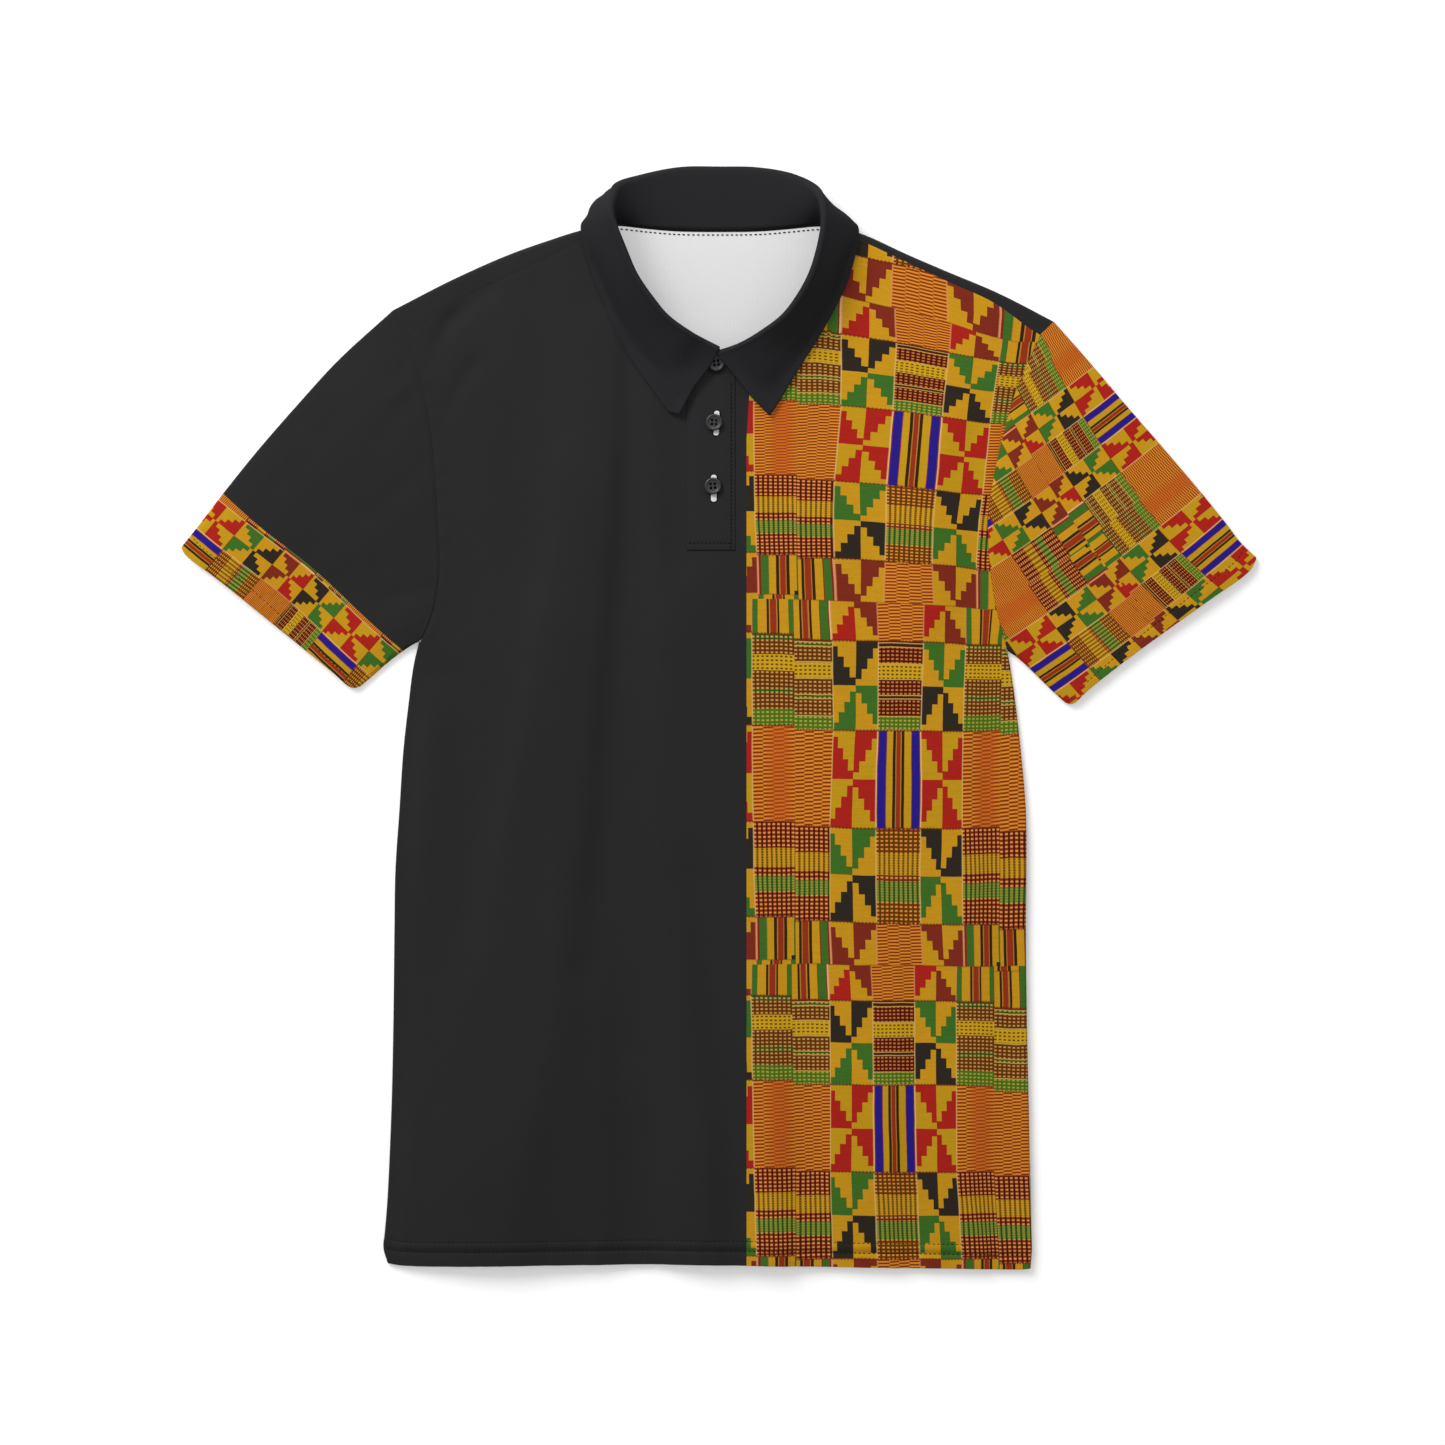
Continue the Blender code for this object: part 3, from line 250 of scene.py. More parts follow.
# Smaller creases laid over them, for the front.
CREASES = rows("x0 y0 x1 y1 x2 y2 width height",
    (-160, 301, -176, 291, -188, 280, 5.2, -1.05),
    (-188, 280, -198, 263, -208, 240, 4.0, -1.1),
    (-200, 198, -186, 197, -170, 195, 2.0, -0.3),
    (-172, 248, -187, 224, -197, 204, 4.2, -1.0),
    (-178, 274, -190, 252, -200, 226, 5.5, 0.35),
    (-198, 120, -184, 96, -160, 66, 6.0, -0.5),
    (-204, 84, -188, 62, -168, 30, 5.0, 0.4),
    (-212, 46, -196, 22, -182, -20, 7.0, -0.5),
    (-150, 250, -158, 206, -160, 150, 10.0, 0.45),
    (-120, 318, -126, 280, -122, 230, 9.0, -0.4),
    (-92, -60, -97, -110, -99, -160, 6.0, 0.5),
    (-58, -250, -64, -310, -60, -372, 8.0, 0.5),
    (-178, -190, -184, -270, -176, -360, 12.0, 0.7),
    (-100, -140, -110, -250, -105, -365, 15.0, 1.7),
    (-118, -262, -124, -320, -128, -384, 9.0, -0.5),
    (-206, -120, -208, -190, -204, -260, 7.0, 0.5),
    (-8, -280, -6, -330, -9, -380, 7.0, 0.5),
    (-12, 110, -16, 60, -20, -10, 9.0, 0.5),
    (-22, 116, -34, 96, -52, 70, 5.0, -0.3),
    (12, 116, 22, 92, 34, 56, 5.0, -0.3),
    (30, -290, 33, -340, 31, -382, 7.0, 0.5),
    (84, -250, 80, -310, 84, -380, 9.0, 0.6),
    (150, -260, 150, -320, 152, -384, 8.0, 0.5),
    (192, -90, 190, -170, 194, -260, 8.0, 0.6),
    (192, 120, 176, 92, 156, 58, 6.0, -0.5),
    (196, 72, 182, 44, 168, 2, 5.5, 0.45),
    (206, 30, 194, 0, 188, -50, 6.0, -0.45),
    (206, 236, 192, 218, 176, 190, 5.0, -0.45),
    (110, 306, 116, 268, 112, 214, 9.0, 0.4),
    (60, 190, 64, 140, 62, 80, 9.0, -0.4))
BACK_CREASES = rows("x0 y0 x1 y1 x2 y2 width height",
    (-120, 250, -96, 90, -104, -130, 15, 0.55),
    (-30, 300, -22, 140, -34, -60, 16, 0.5),
    (60, 260, 70, 60, 52, -170, 15, 0.55),
    (150, 200, 138, 20, 150, -200, 15, 0.55),
    (-170, 60, -160, -120, -172, -300, 14, 0.55),
    (-60, -90, -66, -230, -58, -350, 13, 0.5),
    (10, -120, 4, -250, 12, -350, 12, 0.5),
    (100, -170, 108, -280, 100, -360, 12, 0.5))
SLEEVE_FOLDS = rows("side x0 y0 x1 y1 width height",
    (-1, -250, 215, -330, 120, 26, 1.6),
    (-1, -215, 110, -300, 75, 18, -0.9),
    (-1, -222, 66, -262, 40, 10, 0.8),
    (1, 246, 208, 330, 112, 26, 1.5),
    (1, 206, 108, 292, 72, 18, -0.9),
    (1, 214, 60, 252, 34, 10, 0.8))
SLEEVE_CREASES = rows("side x0 y0 x1 y1 width height",
    (-1, -223, 243, -213, 259, 2.4, -0.8),
    (-1, -214, 236, -228, 226, 3.0, 0.5),
    (-1, -212, 226, -238, 196, 5, -0.5),
    (-1, -206, 176, -246, 142, 6, -0.45),
    (-1, -203, 90, -232, 84, 4.5, -0.6),
    (-1, -262, 218, -322, 150, 9, -0.5),
    (-1, -250, 120, -322, 74, 8, 0.5),
    (1, 210, 214, 240, 186, 5, -0.5),
    (1, 200, 160, 236, 132, 6, -0.45),
    (1, 196, 92, 226, 74, 4.5, -0.6),
    (1, 262, 212, 322, 142, 9, -0.5),
    (1, 244, 112, 306, 72, 8, 0.5))


def line_height(x, y, table):
    """Sum of ridges and troughs along two-piece lines, at points x, y."""
    z = np.zeros(np.broadcast(x, y).shape)
    for f in table:
        best = np.full(z.shape, 1e9)
        a = (f["x0"], f["y0"])
        for k in ("1", "2"):
            if "x" + k not in f:
                continue
            b = (f["x" + k], f["y" + k])
            dx, dy = b[0] - a[0], b[1] - a[1]
            t = np.clip(((x - a[0]) * dx + (y - a[1]) * dy) / (dx * dx + dy * dy), 0, 1)
            best = np.minimum(best, np.hypot(x - a[0] - t * dx, y - a[1] - t * dy))
            a = b
        z = z + f["height"] * bell(best, f["width"])
    return z


DRAPE_LINES = [Curve(f, "y x a l r", 10).p[::-1] for f in DRAPE]


def drape(x, y):
    """Height of the long soft folds."""
    z = np.zeros(np.broadcast(x, y).shape)
    for p in DRAPE_LINES:
        at = [np.interp(y, p[:, 0], p[:, k]) for k in (1, 2, 3, 4)]
        lean = (np.interp(y + 2, p[:, 0], p[:, 1]) - np.interp(y - 2, p[:, 0], p[:, 1])) / 4
        d = (x - at[0]) / np.sqrt(1 + lean * lean)
        z = z + at[1] * np.where(d < 0, bell(d, at[2]), bell(d, at[3]))
    return z


def side_x(y, left):
    """The body's edge at a height: the side seam, then the armhole."""
    side, arm = (SIDE_L, ARM_L) if left else (SIDE_R, ARM_R)
    return np.where(y > side.p[-1, 1], arm.x_at(y), side.x_at(y))


def front_z(x, y):
    """Height of the front's outer face, as in the solid."""
    x, y = np.asarray(x, float), np.asarray(y, float)
    inset = np.where(x < 0, x - side_x(y, True), side_x(y, False) - x)
    edge = SIDE_TOP + (2 * FOLD_R - SIDE_TOP) * smooth(30, 60, y)
    z = edge + (PANEL_TOP - edge) * smooth(0, 48, inset)
    z = z + NECK_RISE * smooth(200, 300, y) * (1 - smooth(108, 190, np.abs(x)))
    free = smooth(0, 40, inset) * (1 - smooth(262, 300, y) * smooth(95, 60, np.abs(x)))
    return z + line_height(x, y, FOLDS) * free


def hem_gap(x, y):
    """Distance above the bottom hem."""
    return y - HEM.y_at(x)


def ripple(t, seed):
    """Uneven small waves along a seam, between about -1 and 1."""
    r = np.random.default_rng(seed)
    out = np.zeros(np.shape(t))
    for wave in (7.0, 9.5, 13.0, 19.0, 31.0):
        out = out + math.sqrt(wave) / 6.5 * np.sin(2 * np.pi * t / wave
              * (1 + 0.08 * np.sin(t / 47.0 + r.uniform(0, 6))) + r.uniform(0, 6.28))
    return out


HEM_LINES = (10.0, 17.0)     # the two rows of stitches above the hem
SLEEVE_LINES = (7.5,)


def front_face(x, y):
    """Height of the front's outer face with its creases and seam grooves."""
    x, y = np.asarray(x, float), np.asarray(y, float)
    inset = np.where(x < 0, x - side_x(y, True), side_x(y, False) - x)
    z = front_z(x, y)
    keep = smooth(0, 30, inset) * (1 - smooth(235, 262, y) * smooth(100, 70, np.abs(x)))
    flat = 1 - (smooth(-48, -24, x) * (1 - smooth(12, 24, x)) * smooth(88, 117, y))
    z = z + line_height(x, y, CREASES) * keep * flat
    z = z + drape(x, y) * smooth(0, 16, inset) * flat
    gap = hem_gap(x, y)
    z = z - 1.4 * smooth(75, 0, gap) * smooth(0, 20, inset)
    for at, height, width in HEM_LIFT:
        z = z + height * bell(x - at, width) * smooth(75, 0, gap) * smooth(0, 20, inset)
    # Above the lower row of stitches the cloth rolls down to it.
    roll = np.clip((15.2 - gap) / 5.0, 0, 1) ** 2.2
    z = z - (1.15 * roll - 0.35 * smooth(9.8, 7.5, gap)) * (0.3 + 0.7 * smooth(0, 14, inset))
    for h, deep in zip(HEM_LINES, (0.20, 0.40)):
        z = z - deep * bell(gap - h, 0.9)
    z = z + 0.26 * smooth(20, 12, gap) * ripple(x, 3) * smooth(0, 25, inset)
    z = z + 0.25 * smooth(19, 17.5, gap)
    arm = np.where(y > 52, inset, 99)
    deep = 1 - 0.7 * smooth(238, 258, y)
    z = z - (0.38 * bell(arm, 1.0) - 0.20 * bell(arm - 3.0, 1.8)) * deep
    z = z + 0.12 * bell(arm - 3, 4) * ripple(y, 5)
    return z


def back_z(x, y):
    """Height of the back's under face: raised only over the collar."""
    return LEAF_LIFT * smooth(250, 336, y) * (1 - smooth(92, 132, np.abs(x)))


# ------------------------------------------------------------ shell builder
def normals(p, wrap=False):
    """Unit normals of a grid of points; wrap joins the last column to the first."""
    if wrap:
        q = np.concatenate([p[:, -1:], p, p[:, :1]], axis=1)
        du = (q[:, 2:] - q[:, :-2])
    else:
        du = np.gradient(p, axis=1)
    dv = np.gradient(p, axis=0)
    n = np.cross(du, dv)
    size = np.linalg.norm(n, axis=-1, keepdims=True)
    return n / np.maximum(size, 1e-12)


class Skin:
    """Collects grids into one mesh with two UV maps and two materials."""

    def __init__(self):
        self.v, self.f, self.m, self.print_uv, self.knit_uv = [], [], [], [], []
        self.count = 0

    def points(self, p, print_uv, knit_uv):
        p = np.asarray(p, float).reshape(-1, 3)
        base = self.count
        self.v.append(p)
        self.print_uv.append(np.asarray(print_uv, float).reshape(-1, 2))
        self.knit_uv.append(np.asarray(knit_uv, float).reshape(-1, 2))
        self.count += len(p)
        return base

    def faces(self, quads, material):
        if len(quads):
            self.f.append(np.asarray(quads, int))
            self.m.append(np.full(len(quads), material))

    def shell(self, outer, t, print_uv, knit_uv, keep=None, wrap=False, n=None,
              outside=0, inside=1):
        """A wall: outer points (mm), thickness t inwards, rims closed."""
        rows_n, cols_n = outer.shape[:2]
        n = normals(outer, wrap) if n is None else n
        t = np.broadcast_to(np.asarray(t, float), (rows_n, cols_n))
        inner = outer - n * t[..., None]
        inner[..., 2] = np.maximum(inner[..., 2], 0.0)
        a = self.points(outer * MM, print_uv, knit_uv)
        b = self.points(inner * MM, print_uv, knit_uv)
        idx = np.arange(rows_n * cols_n).reshape(rows_n, cols_n)
        if wrap:
            idx = np.concatenate([idx, idx[:, :1]], axis=1)
        q = np.stack([idx[:-1, :-1], idx[:-1, 1:], idx[1:, 1:], idx[1:, :-1]], -1)
        if keep is None:
            keep = np.ones(q.shape[:2], bool)
        q = q[keep]
        self.faces(q + a, outside)
        self.faces(q[:, ::-1] + b, inside)
        # Rims: edges used by one quad only.
        e = np.concatenate([q[:, [0, 1]], q[:, [1, 2]], q[:, [2, 3]], q[:, [3, 0]]])
        key = np.sort(e, axis=1)
        key = key[:, 0] * (rows_n * cols_n + 1) + key[:, 1]
        _, inv, num = np.unique(key, return_inverse=True, return_counts=True)
        rim = e[num[inv] == 1]
        if not len(rim):
            return
        flat_o, flat_i = outer.reshape(-1, 3), inner.reshape(-1, 3)
        used = np.unique(rim)
        out_dir = np.zeros((rows_n * cols_n, 3))
        nn = n.reshape(-1, 3)
        for col in (0, 1):
            d = flat_o[rim[:, 1]] - flat_o[rim[:, 0]]
            np.add.at(out_dir, rim[:, col], np.cross(d, nn[rim[:, col]]))
        size = np.linalg.norm(out_dir, axis=1, keepdims=True)
        out_dir = out_dir / np.maximum(size, 1e-9)
        mid = (flat_o + flat_i) / 2 + out_dir * t.reshape(-1, 1) * 0.22
        mid[:, 2] = np.maximum(mid[:, 2], 0.0)
        place = np.full(rows_n * cols_n, -1)
        place[used] = np.arange(len(used))
        pu = np.asarray(print_uv, float).reshape(-1, 2)[used]
        ku = np.asarray(knit_uv, float).reshape(-1, 2)[used]
        c = self.points(mid[used] * MM, pu, ku)
        p0, p1 = rim[:, 0], rim[:, 1]
        m0, m1 = place[p0] + c, place[p1] + c
        self.faces(np.stack([p1 + a, p0 + a, m0, m1], -1), outside)
        self.faces(np.stack([m1, m0, p0 + b, p1 + b], -1), outside)

    def build(self, name, materials, slot=None, node=None, smooth_angle=None):
        v = np.concatenate(self.v)
        f, m = np.concatenate(self.f), np.concatenate(self.m)
        used = np.unique(f)
        remap = np.full(len(v), -1)
        remap[used] = np.arange(len(used))
        v, f = v[used], remap[f]
        uv1 = np.concatenate(self.print_uv)[used]
        uv2 = np.concatenate(self.knit_uv)[used]
        mesh = bpy.data.meshes.new(name)
        mesh.vertices.add(len(v))
        mesh.vertices.foreach_set("co", v.astype(np.float32).ravel())
        mesh.loops.add(f.size)
        mesh.loops.foreach_set("vertex_index", f.astype(np.int32).ravel())
        mesh.polygons.add(len(f))
        mesh.polygons.foreach_set("loop_start", np.arange(0, f.size, 4, dtype=np.int32))
        mesh.polygons.foreach_set("material_index", m.astype(np.int32))
        mesh.update(calc_edges=True)
        mesh.validate()
        for label, uv in (("print", uv1), ("knit", uv2)):
            layer = mesh.uv_layers.new(name=label)
            loops = np.zeros(len(mesh.loops), np.int32)
            mesh.loops.foreach_get("vertex_index", loops)
            layer.data.foreach_set("uv", uv[loops].astype(np.float32).ravel())
        mesh.shade_smooth()
        if smooth_angle:
            mesh.set_sharp_from_angle(angle=math.radians(smooth_angle))
        obj = bpy.data.objects.new(name, mesh)
        bpy.context.scene.collection.objects.link(obj)
        for mat in materials:
            mesh.materials.append(mat)
        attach(obj, "root")
        if node:
            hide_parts(*node)
        return obj


# ------------------------------------------------------------- node helper
def lin(r, g, b):
    """sRGB 0-255 as a linear colour."""
    def f(c):
        c /= 255.0
        return c / 12.92 if c <= 0.04045 else ((c + 0.055) / 1.055) ** 2.4
    return (f(r), f(g), f(b), 1.0)


def dye(r, g, b):
    """The albedo that shows as this colour on flat cloth in this light."""
    return tuple(c / 1.32 for c in lin(r, g, b)[:3]) + (1.0,)


class Nodes:
    """Writes shader nodes as arithmetic on sockets and numbers."""

    def __init__(self, name):
        self.mat = bpy.data.materials.new(name)
        self.mat.use_nodes = True
        self.tree = self.mat.node_tree
        self.bsdf = self.tree.nodes["Principled BSDF"]

    def put(self, socket, value):
        if isinstance(value, Num):
            value = value.s
        if isinstance(value, bpy.types.NodeSocket):
            self.tree.links.new(value, socket)
        else:
            socket.default_value = value

    def math(self, op, *args):
        node = self.tree.nodes.new("ShaderNodeMath")
        node.operation = op
        for i, a in enumerate(args):
            self.put(node.inputs[i], a)
        return Num(self, node.outputs[0])

    def uv(self, name):
        node = self.tree.nodes.new("ShaderNodeUVMap")
        node.uv_map = name
        sep = self.tree.nodes.new("ShaderNodeSeparateXYZ")
        self.tree.links.new(node.outputs[0], sep.inputs[0])
        return Num(self, sep.outputs[0]), Num(self, sep.outputs[1])

    def vector(self, x, y, z=0.0):
        node = self.tree.nodes.new("ShaderNodeCombineXYZ")
        for i, a in enumerate((x, y, z)):
            self.put(node.inputs[i], a)
        return node.outputs[0]

    def noise(self, vector, scale, detail=2.0, rough=0.5):
        node = self.tree.nodes.new("ShaderNodeTexNoise")
        self.put(node.inputs["Vector"], vector)
        node.inputs["Scale"].default_value = scale
        node.inputs["Detail"].default_value = detail
        node.inputs["Roughness"].default_value = rough
        return Num(self, node.outputs[0])

    def ramp(self, value, table):
        """Bands of colour: rows of start, colour."""
        node = self.tree.nodes.new("ShaderNodeValToRGB")
        r = node.color_ramp
        r.interpolation = "CONSTANT"
        while len(r.elements) < len(table):
            r.elements.new(1.0)
        for e, (pos, colour) in zip(r.elements, table):
            e.position = pos
        for e, (pos, colour) in zip(r.elements, table):
            e.color = colour
        self.put(node.inputs[0], value)
        return node.outputs[0]

    def step_ramp(self, value, table):
        """A stepped number: rows of start, value."""
        out = self.ramp(value, [(p, (v, v, v, 1.0)) for p, v in table])
        return Num(self, out)

    def mix(self, fac, a, b, kind="MIX"):
        node = self.tree.nodes.new("ShaderNodeMix")
        node.data_type = "RGBA"
        node.blend_type = kind
        self.put(node.inputs[0], fac)
        self.put(node.inputs[6], a)
        self.put(node.inputs[7], b)
        return node.outputs[2]

    def scale(self, colour, k):
        """A colour times a number."""
        node = self.tree.nodes.new("ShaderNodeVectorMath")
        node.operation = "SCALE"
        self.put(node.inputs[0], colour[:3] if isinstance(colour, tuple) else colour)
        self.put(node.inputs["Scale"], k)
        return node.outputs[0]

    def bump(self, height, distance, strength=1.0, normal=None):
        node = self.tree.nodes.new("ShaderNodeBump")
        node.inputs["Strength"].default_value = strength
        node.inputs["Distance"].default_value = distance
        self.put(node.inputs["Height"], height)
        if normal is not None:
            self.tree.links.new(normal, node.inputs["Normal"])
        return node.outputs[0]


class Num:
    """A number socket with operators."""

    def __init__(self, nodes, socket):
        self.n, self.s = nodes, socket

    def __add__(self, o): return self.n.math("ADD", self, o)
    __radd__ = __add__
    def __sub__(self, o): return self.n.math("SUBTRACT", self, o)
    def __rsub__(self, o): return self.n.math("SUBTRACT", o, self)
    def __mul__(self, o): return self.n.math("MULTIPLY", self, o)
    __rmul__ = __mul__
    def __truediv__(self, o): return self.n.math("DIVIDE", self, o)
    def __lt__(self, o): return self.n.math("LESS_THAN", self, o)
    def __gt__(self, o): return self.n.math("GREATER_THAN", self, o)
    def floor(self): return self.n.math("FLOOR", self)
    def ceil(self): return self.n.math("CEIL", self)
    def frac(self): return self.n.math("FRACT", self)
    def abs(self): return self.n.math("ABSOLUTE", self)
    def sin(self): return self.n.math("SINE", self)
    def mod(self, k): return self.n.math("FLOORED_MODULO", self, k)
    def min(self, o): return self.n.math("MINIMUM", self, o)
    def max(self, o): return self.n.math("MAXIMUM", self, o)
    def clip(self): return self.max(0.0).min(1.0)
    def soft(self, edge, width):
        """0 below edge, 1 above it, over a width."""
        return ((self - (edge - width / 2)) * (1.0 / width)).clip()


# ------------------------------------------------------------- print chart
# Five strips (W1 W2 P1 N P2) repeat across, five rows (R1 R2 R3a R3b R4) down.
STRIP_MARKS = (0, 1, 2, 2.5, 3, 4, 4.5, 5, 6, 7)
ROW_STARTS = (0, 96, 191, 232, 269, 353)
ROW_PERIOD = 353
# Where the strips' edges lie across the front, in chart units, at heights y.
STRIP_TABLE = rows("y v s0 s1 s2 s25 s3 s4 s45 s5 s6 s7",
    (240, -180, 750, 796, 843, 868.5, 894, 945.5, 972, 998, 1050, 1098),
    (310, -123, 752, 795, 838, 865, 888.7, 946.9, 974.5, 1000.2, 1050, 1098),
    (314, -119, 754, 797, 841, 868.4, 895.7, 951.5, 976.7, 1004, 1052, 1100),
    (344, -84, 754, 797, 840, 868, 895.4, 949.3, 974.3, 1001, 1048, 1094),
    (411, 0, 753.4, 797, 840.2, 865, 892, 942, 966.8, 991.3, 1038, 1082),
    (482, 90, 754.3, 797.2, 833.7, 858.2, 885.8, 936.1, 961.9, 983.9, 1030, 1072),
    (521, 140, 754.9, 797.4, 832.2, 859.6, 885.4, 932.3, 956.2, 979.2, 1024, 1064),
    (561, 190, 757.2, 798, 833.7, 860.2, 884.5, 931.3, 955.8, 976.3, 1020, 1060),
    (602, 230, 760, 798.2, 836, 860.2, 883.5, 933, 956.2, 976.5, 1018, 1058),
    (606, 234, 749.8, 794, 829.9, 854.8, 877, 924.4, 944.7, 966, 1008, 1046),
    (641, 269, 752, 794.3, 832, 856.5, 878.5, 924, 944.7, 965.9, 1001, 1040),
    (725, 348, 752.5, 794.7, 833.2, 855.7, 877.9, 920.8, 942.4, 963, 1000.2, 1038),
    (780, 403, 752.6, 795, 831, 853, 876, 922, 942.5, 961.5, 999, 1036),
    (828, 449, 753.5, 795.3, 829.3, 851.8, 875.8, 921, 942, 961.5, 999, 1035),
    (875, 496, 754.2, 795.5, 829.5, 852.7, 876.4, 920.2, 940.5, 962.7, 999.4, 1035),
    (924, 544, 756, 795.3, 829.5, 853.5, 876.5, 921, 942, 962.5, 998.5, 1034),
    (964, 584, 757, 795.3, 830.5, 854, 877.5, 923, 944, 963, 998.5, 1034),
    (968, 586, 751, 791.6, 828, 850.2, 871.3, 915.7, 935.8, 955.2, 993.2, 1029),
    (1000, 622, 751.5, 791.8, 829, 851.5, 872.5, 915.3, 935.5, 955.5, 993.2, 1029),
    (1085, 706, 753, 793.5, 829.7, 852, 873, 915.5, 936, 955.5, 992.5, 1028.4),
    (1171, 802, 754.5, 796, 829, 851.5, 874.5, 917, 936.2, 956, 992.5, 1027),
    (1260, 897, 757, 796, 832, 854, 879, 920.5, 941, 963, 996.8, 1031),
    (1300, 938, 757, 796, 832, 854, 879, 920.5, 941, 963, 996.8, 1031))
# The strips step sideways where R3a meets R3b: row value, step at the first
# strips in chart units, what is added to the right of a strip, over how many.
SIDE_STEPS = ((-121, 3.2, 0.0, 0.0, 1.0), (232, -6.0, -5.0, 2.8, 2.2), (585, -4.3, -3.2, 2.3, 1.0))
# Where the rows' edges lie down each strip.
ROW_TABLE = rows("v w1 w2 p1 n p2 w1b w2b",
    (-257, 154, 158, 173, 185, 197, 208, 215),
    (-162, 235, 239, 255.7, 266.7, 279, 290, 297),
    (-121, 285, 289, 300.4, 311.4, 323.9, 334.9, 342),
    (-84, 328, 331, 336.4, 344.4, 353.2, 359.1, 363),
    (0, 404.5, 404, 407, 412, 418.3, 423, 424),
    (96, 478.2, 479.5, 482.4, 487.1, 492.5, 494.8, 495),
    (191, 558.6, 557.9, 558.9, 562.7, 565.6, 570.4, 570),
    (232, 598.8, 600, 601.9, 603.9, 606.1, 609.6, 609),
    (269, 638.3, 640, 640.7, 641.4, 643.3, 644.9, 644.7),
    (353, 730.1, 730, 730.6, 730.6, 731.3, 731.3, 729),
    (449, 826.3, 826.6, 828.2, 828.5, 828.9, 827.6, 826),
    (544, 921.5, 920, 922.3, 924.2, 924.7, 924.2, 924),
    (585, 964.4, 963.5, 965.4, 965, 966, 966.6, 965.8),
    (622, 999.7, 999.4, 1000.6, 1000.6, 1001, 1001.8, 1003.6),
    (706, 1084.3, 1084.2, 1084.7, 1084.7, 1084.7, 1086, 1087.7),
    (802, 1171.8, 1171, 1171.5, 1172, 1172, 1171.4, 1171.3),
    (897, 1259.5, 1258.7, 1258.7, 1259.2, 1259, 1258.5, 1258),
    (938, 1300, 1300, 1300, 1300, 1300, 1300, 1300))
STRIP_MID = (776, 818, 858, 908, 952, 985, 1015)
# Marks of the print on the right sleeve: chart place, strip and row value.
SLEEVE_MARKS = rows("x y s v",
    (1085.0, 418.6, 4, 0), (1100.3, 444.6, 3, 0),
    (1192.4, 554.8, -1, 0), (1211.9, 575.1, -2, 0),
    (1149.7, 582.8, -1, -84), (1170.6, 609.2, -2, -84),
    (1112.9, 606.4, -1, -162), (1131.5, 632.0, -2, -162),
    (1071.6, 639.8, -1, -257), (1089.7, 662.2, -2, -257),
    (1036.7, 671.9, -1, -353), (1057.6, 692.8, -2, -353),
    (1048.7, 447.4, 4, -84), (1068.2, 476.7, 3, -84),
    (1013.0, 469.7, 4, -162), (1028.3, 500.4, 3, -162),
    (1126.5, 476.7, 2, 0), (1167.8, 522.7, 0, 0),
    (1088.3, 508.7, 2, -84), (1128.8, 552.0, 0, -84),
    (1052.1, 533.8, 2, -162), (1085.5, 577.1, 0, -162),
    (1008.0, 547.8, 2, -257), (1049.3, 610.5, 0, -257),
    (1010.2, 638.4, 0, -353),
    (1066.6, 393.0, 5, 0), (1034.8, 417.2, 5, -84), (1003.8, 434.8, 5, -162),
    (1160.8, 447.4, 2, 78), (1198.5, 492.0, 0, 78),
    (1112.9, 389.4, 4, 78))


def side_step(v, s):
    out = 0.0
    for at, base, more, start, span in SIDE_STEPS:
        out = out + (v > at) * (base + more * np.clip((s - start) / span, 0, 1))
    return out


def strip_table():
    """Strip edges without the sideways steps, smooth down the front."""
    names = ("s0", "s1", "s2", "s25", "s3", "s4", "s45", "s5", "s6", "s7")
    ys = [r["y"] for r in STRIP_TABLE]
    edge = np.array([[r[n] for n in names] for r in STRIP_TABLE], float)
    marks = np.array(STRIP_MARKS, float)
    for i, r in enumerate(STRIP_TABLE):
        edge[i] -= side_step(r["v"], marks)
    for i in range(len(ys) - 1):
        if ys[i + 1] - ys[i] < 6:
            edge[i] = edge[i + 1] = (edge[i] + edge[i + 1]) / 2
    return ys, edge


def front_print(x, y):
    """Strip and row values at points of the front (mm)."""
    cx, cy = x / CHART + CHART_0[0], CHART_0[1] - y / CHART
    ys, table = strip_table()
    edge = np.stack([np.interp(cy, ys, table[:, k]) for k in range(table.shape[1])], -1)
    edge = np.concatenate([edge[..., :1] - 43, edge, edge[..., -1:] + 36], -1)
    marks = np.array((-1,) + STRIP_MARKS + (8,), float)
    s = np.zeros(np.shape(cx))
    for k in range(len(marks) - 1):
        a, b = edge[..., k], edge[..., k + 1]
        t = (cx - a) / (b - a)
        s = np.where((t >= 0) | (k == 0), marks[k] + t * (marks[k + 1] - marks[k]), s)
    mids = np.array(STRIP_MID, float)
    cols = np.array([[r[n] for n in ("w1", "w2", "p1", "n", "p2", "w1b", "w2b")]
                     for r in ROW_TABLE], float)
    at_x = np.stack([np.interp(cx, mids, row) for row in cols], -1)
    vs = np.array([r["v"] for r in ROW_TABLE], float)
    v = np.full(np.shape(cy), vs[0])
    for k in range(len(vs) - 1):
        a, b = at_x[..., k], at_x[..., k + 1]
        t = (cy - a) / (b - a)
        v = np.where(t >= 0, vs[k] + t * (vs[k + 1] - vs[k]), v)
    return np.stack([s / 10.0, v / 1000.0], -1)


def fit_print():
    """A smooth map for the printed sleeve through its marks."""
    x = np.array([m["x"] - 1110 for m in SLEEVE_MARKS]) / 100
    y = np.array([m["y"] - 540 for m in SLEEVE_MARKS]) / 100
    a = np.stack([np.ones_like(x), x, y, x * x, x * y, y * y], -1)
    return [np.linalg.lstsq(a, np.array([m[k] for m in SLEEVE_MARKS], float),
                            rcond=None)[0] for k in ("s", "v")]


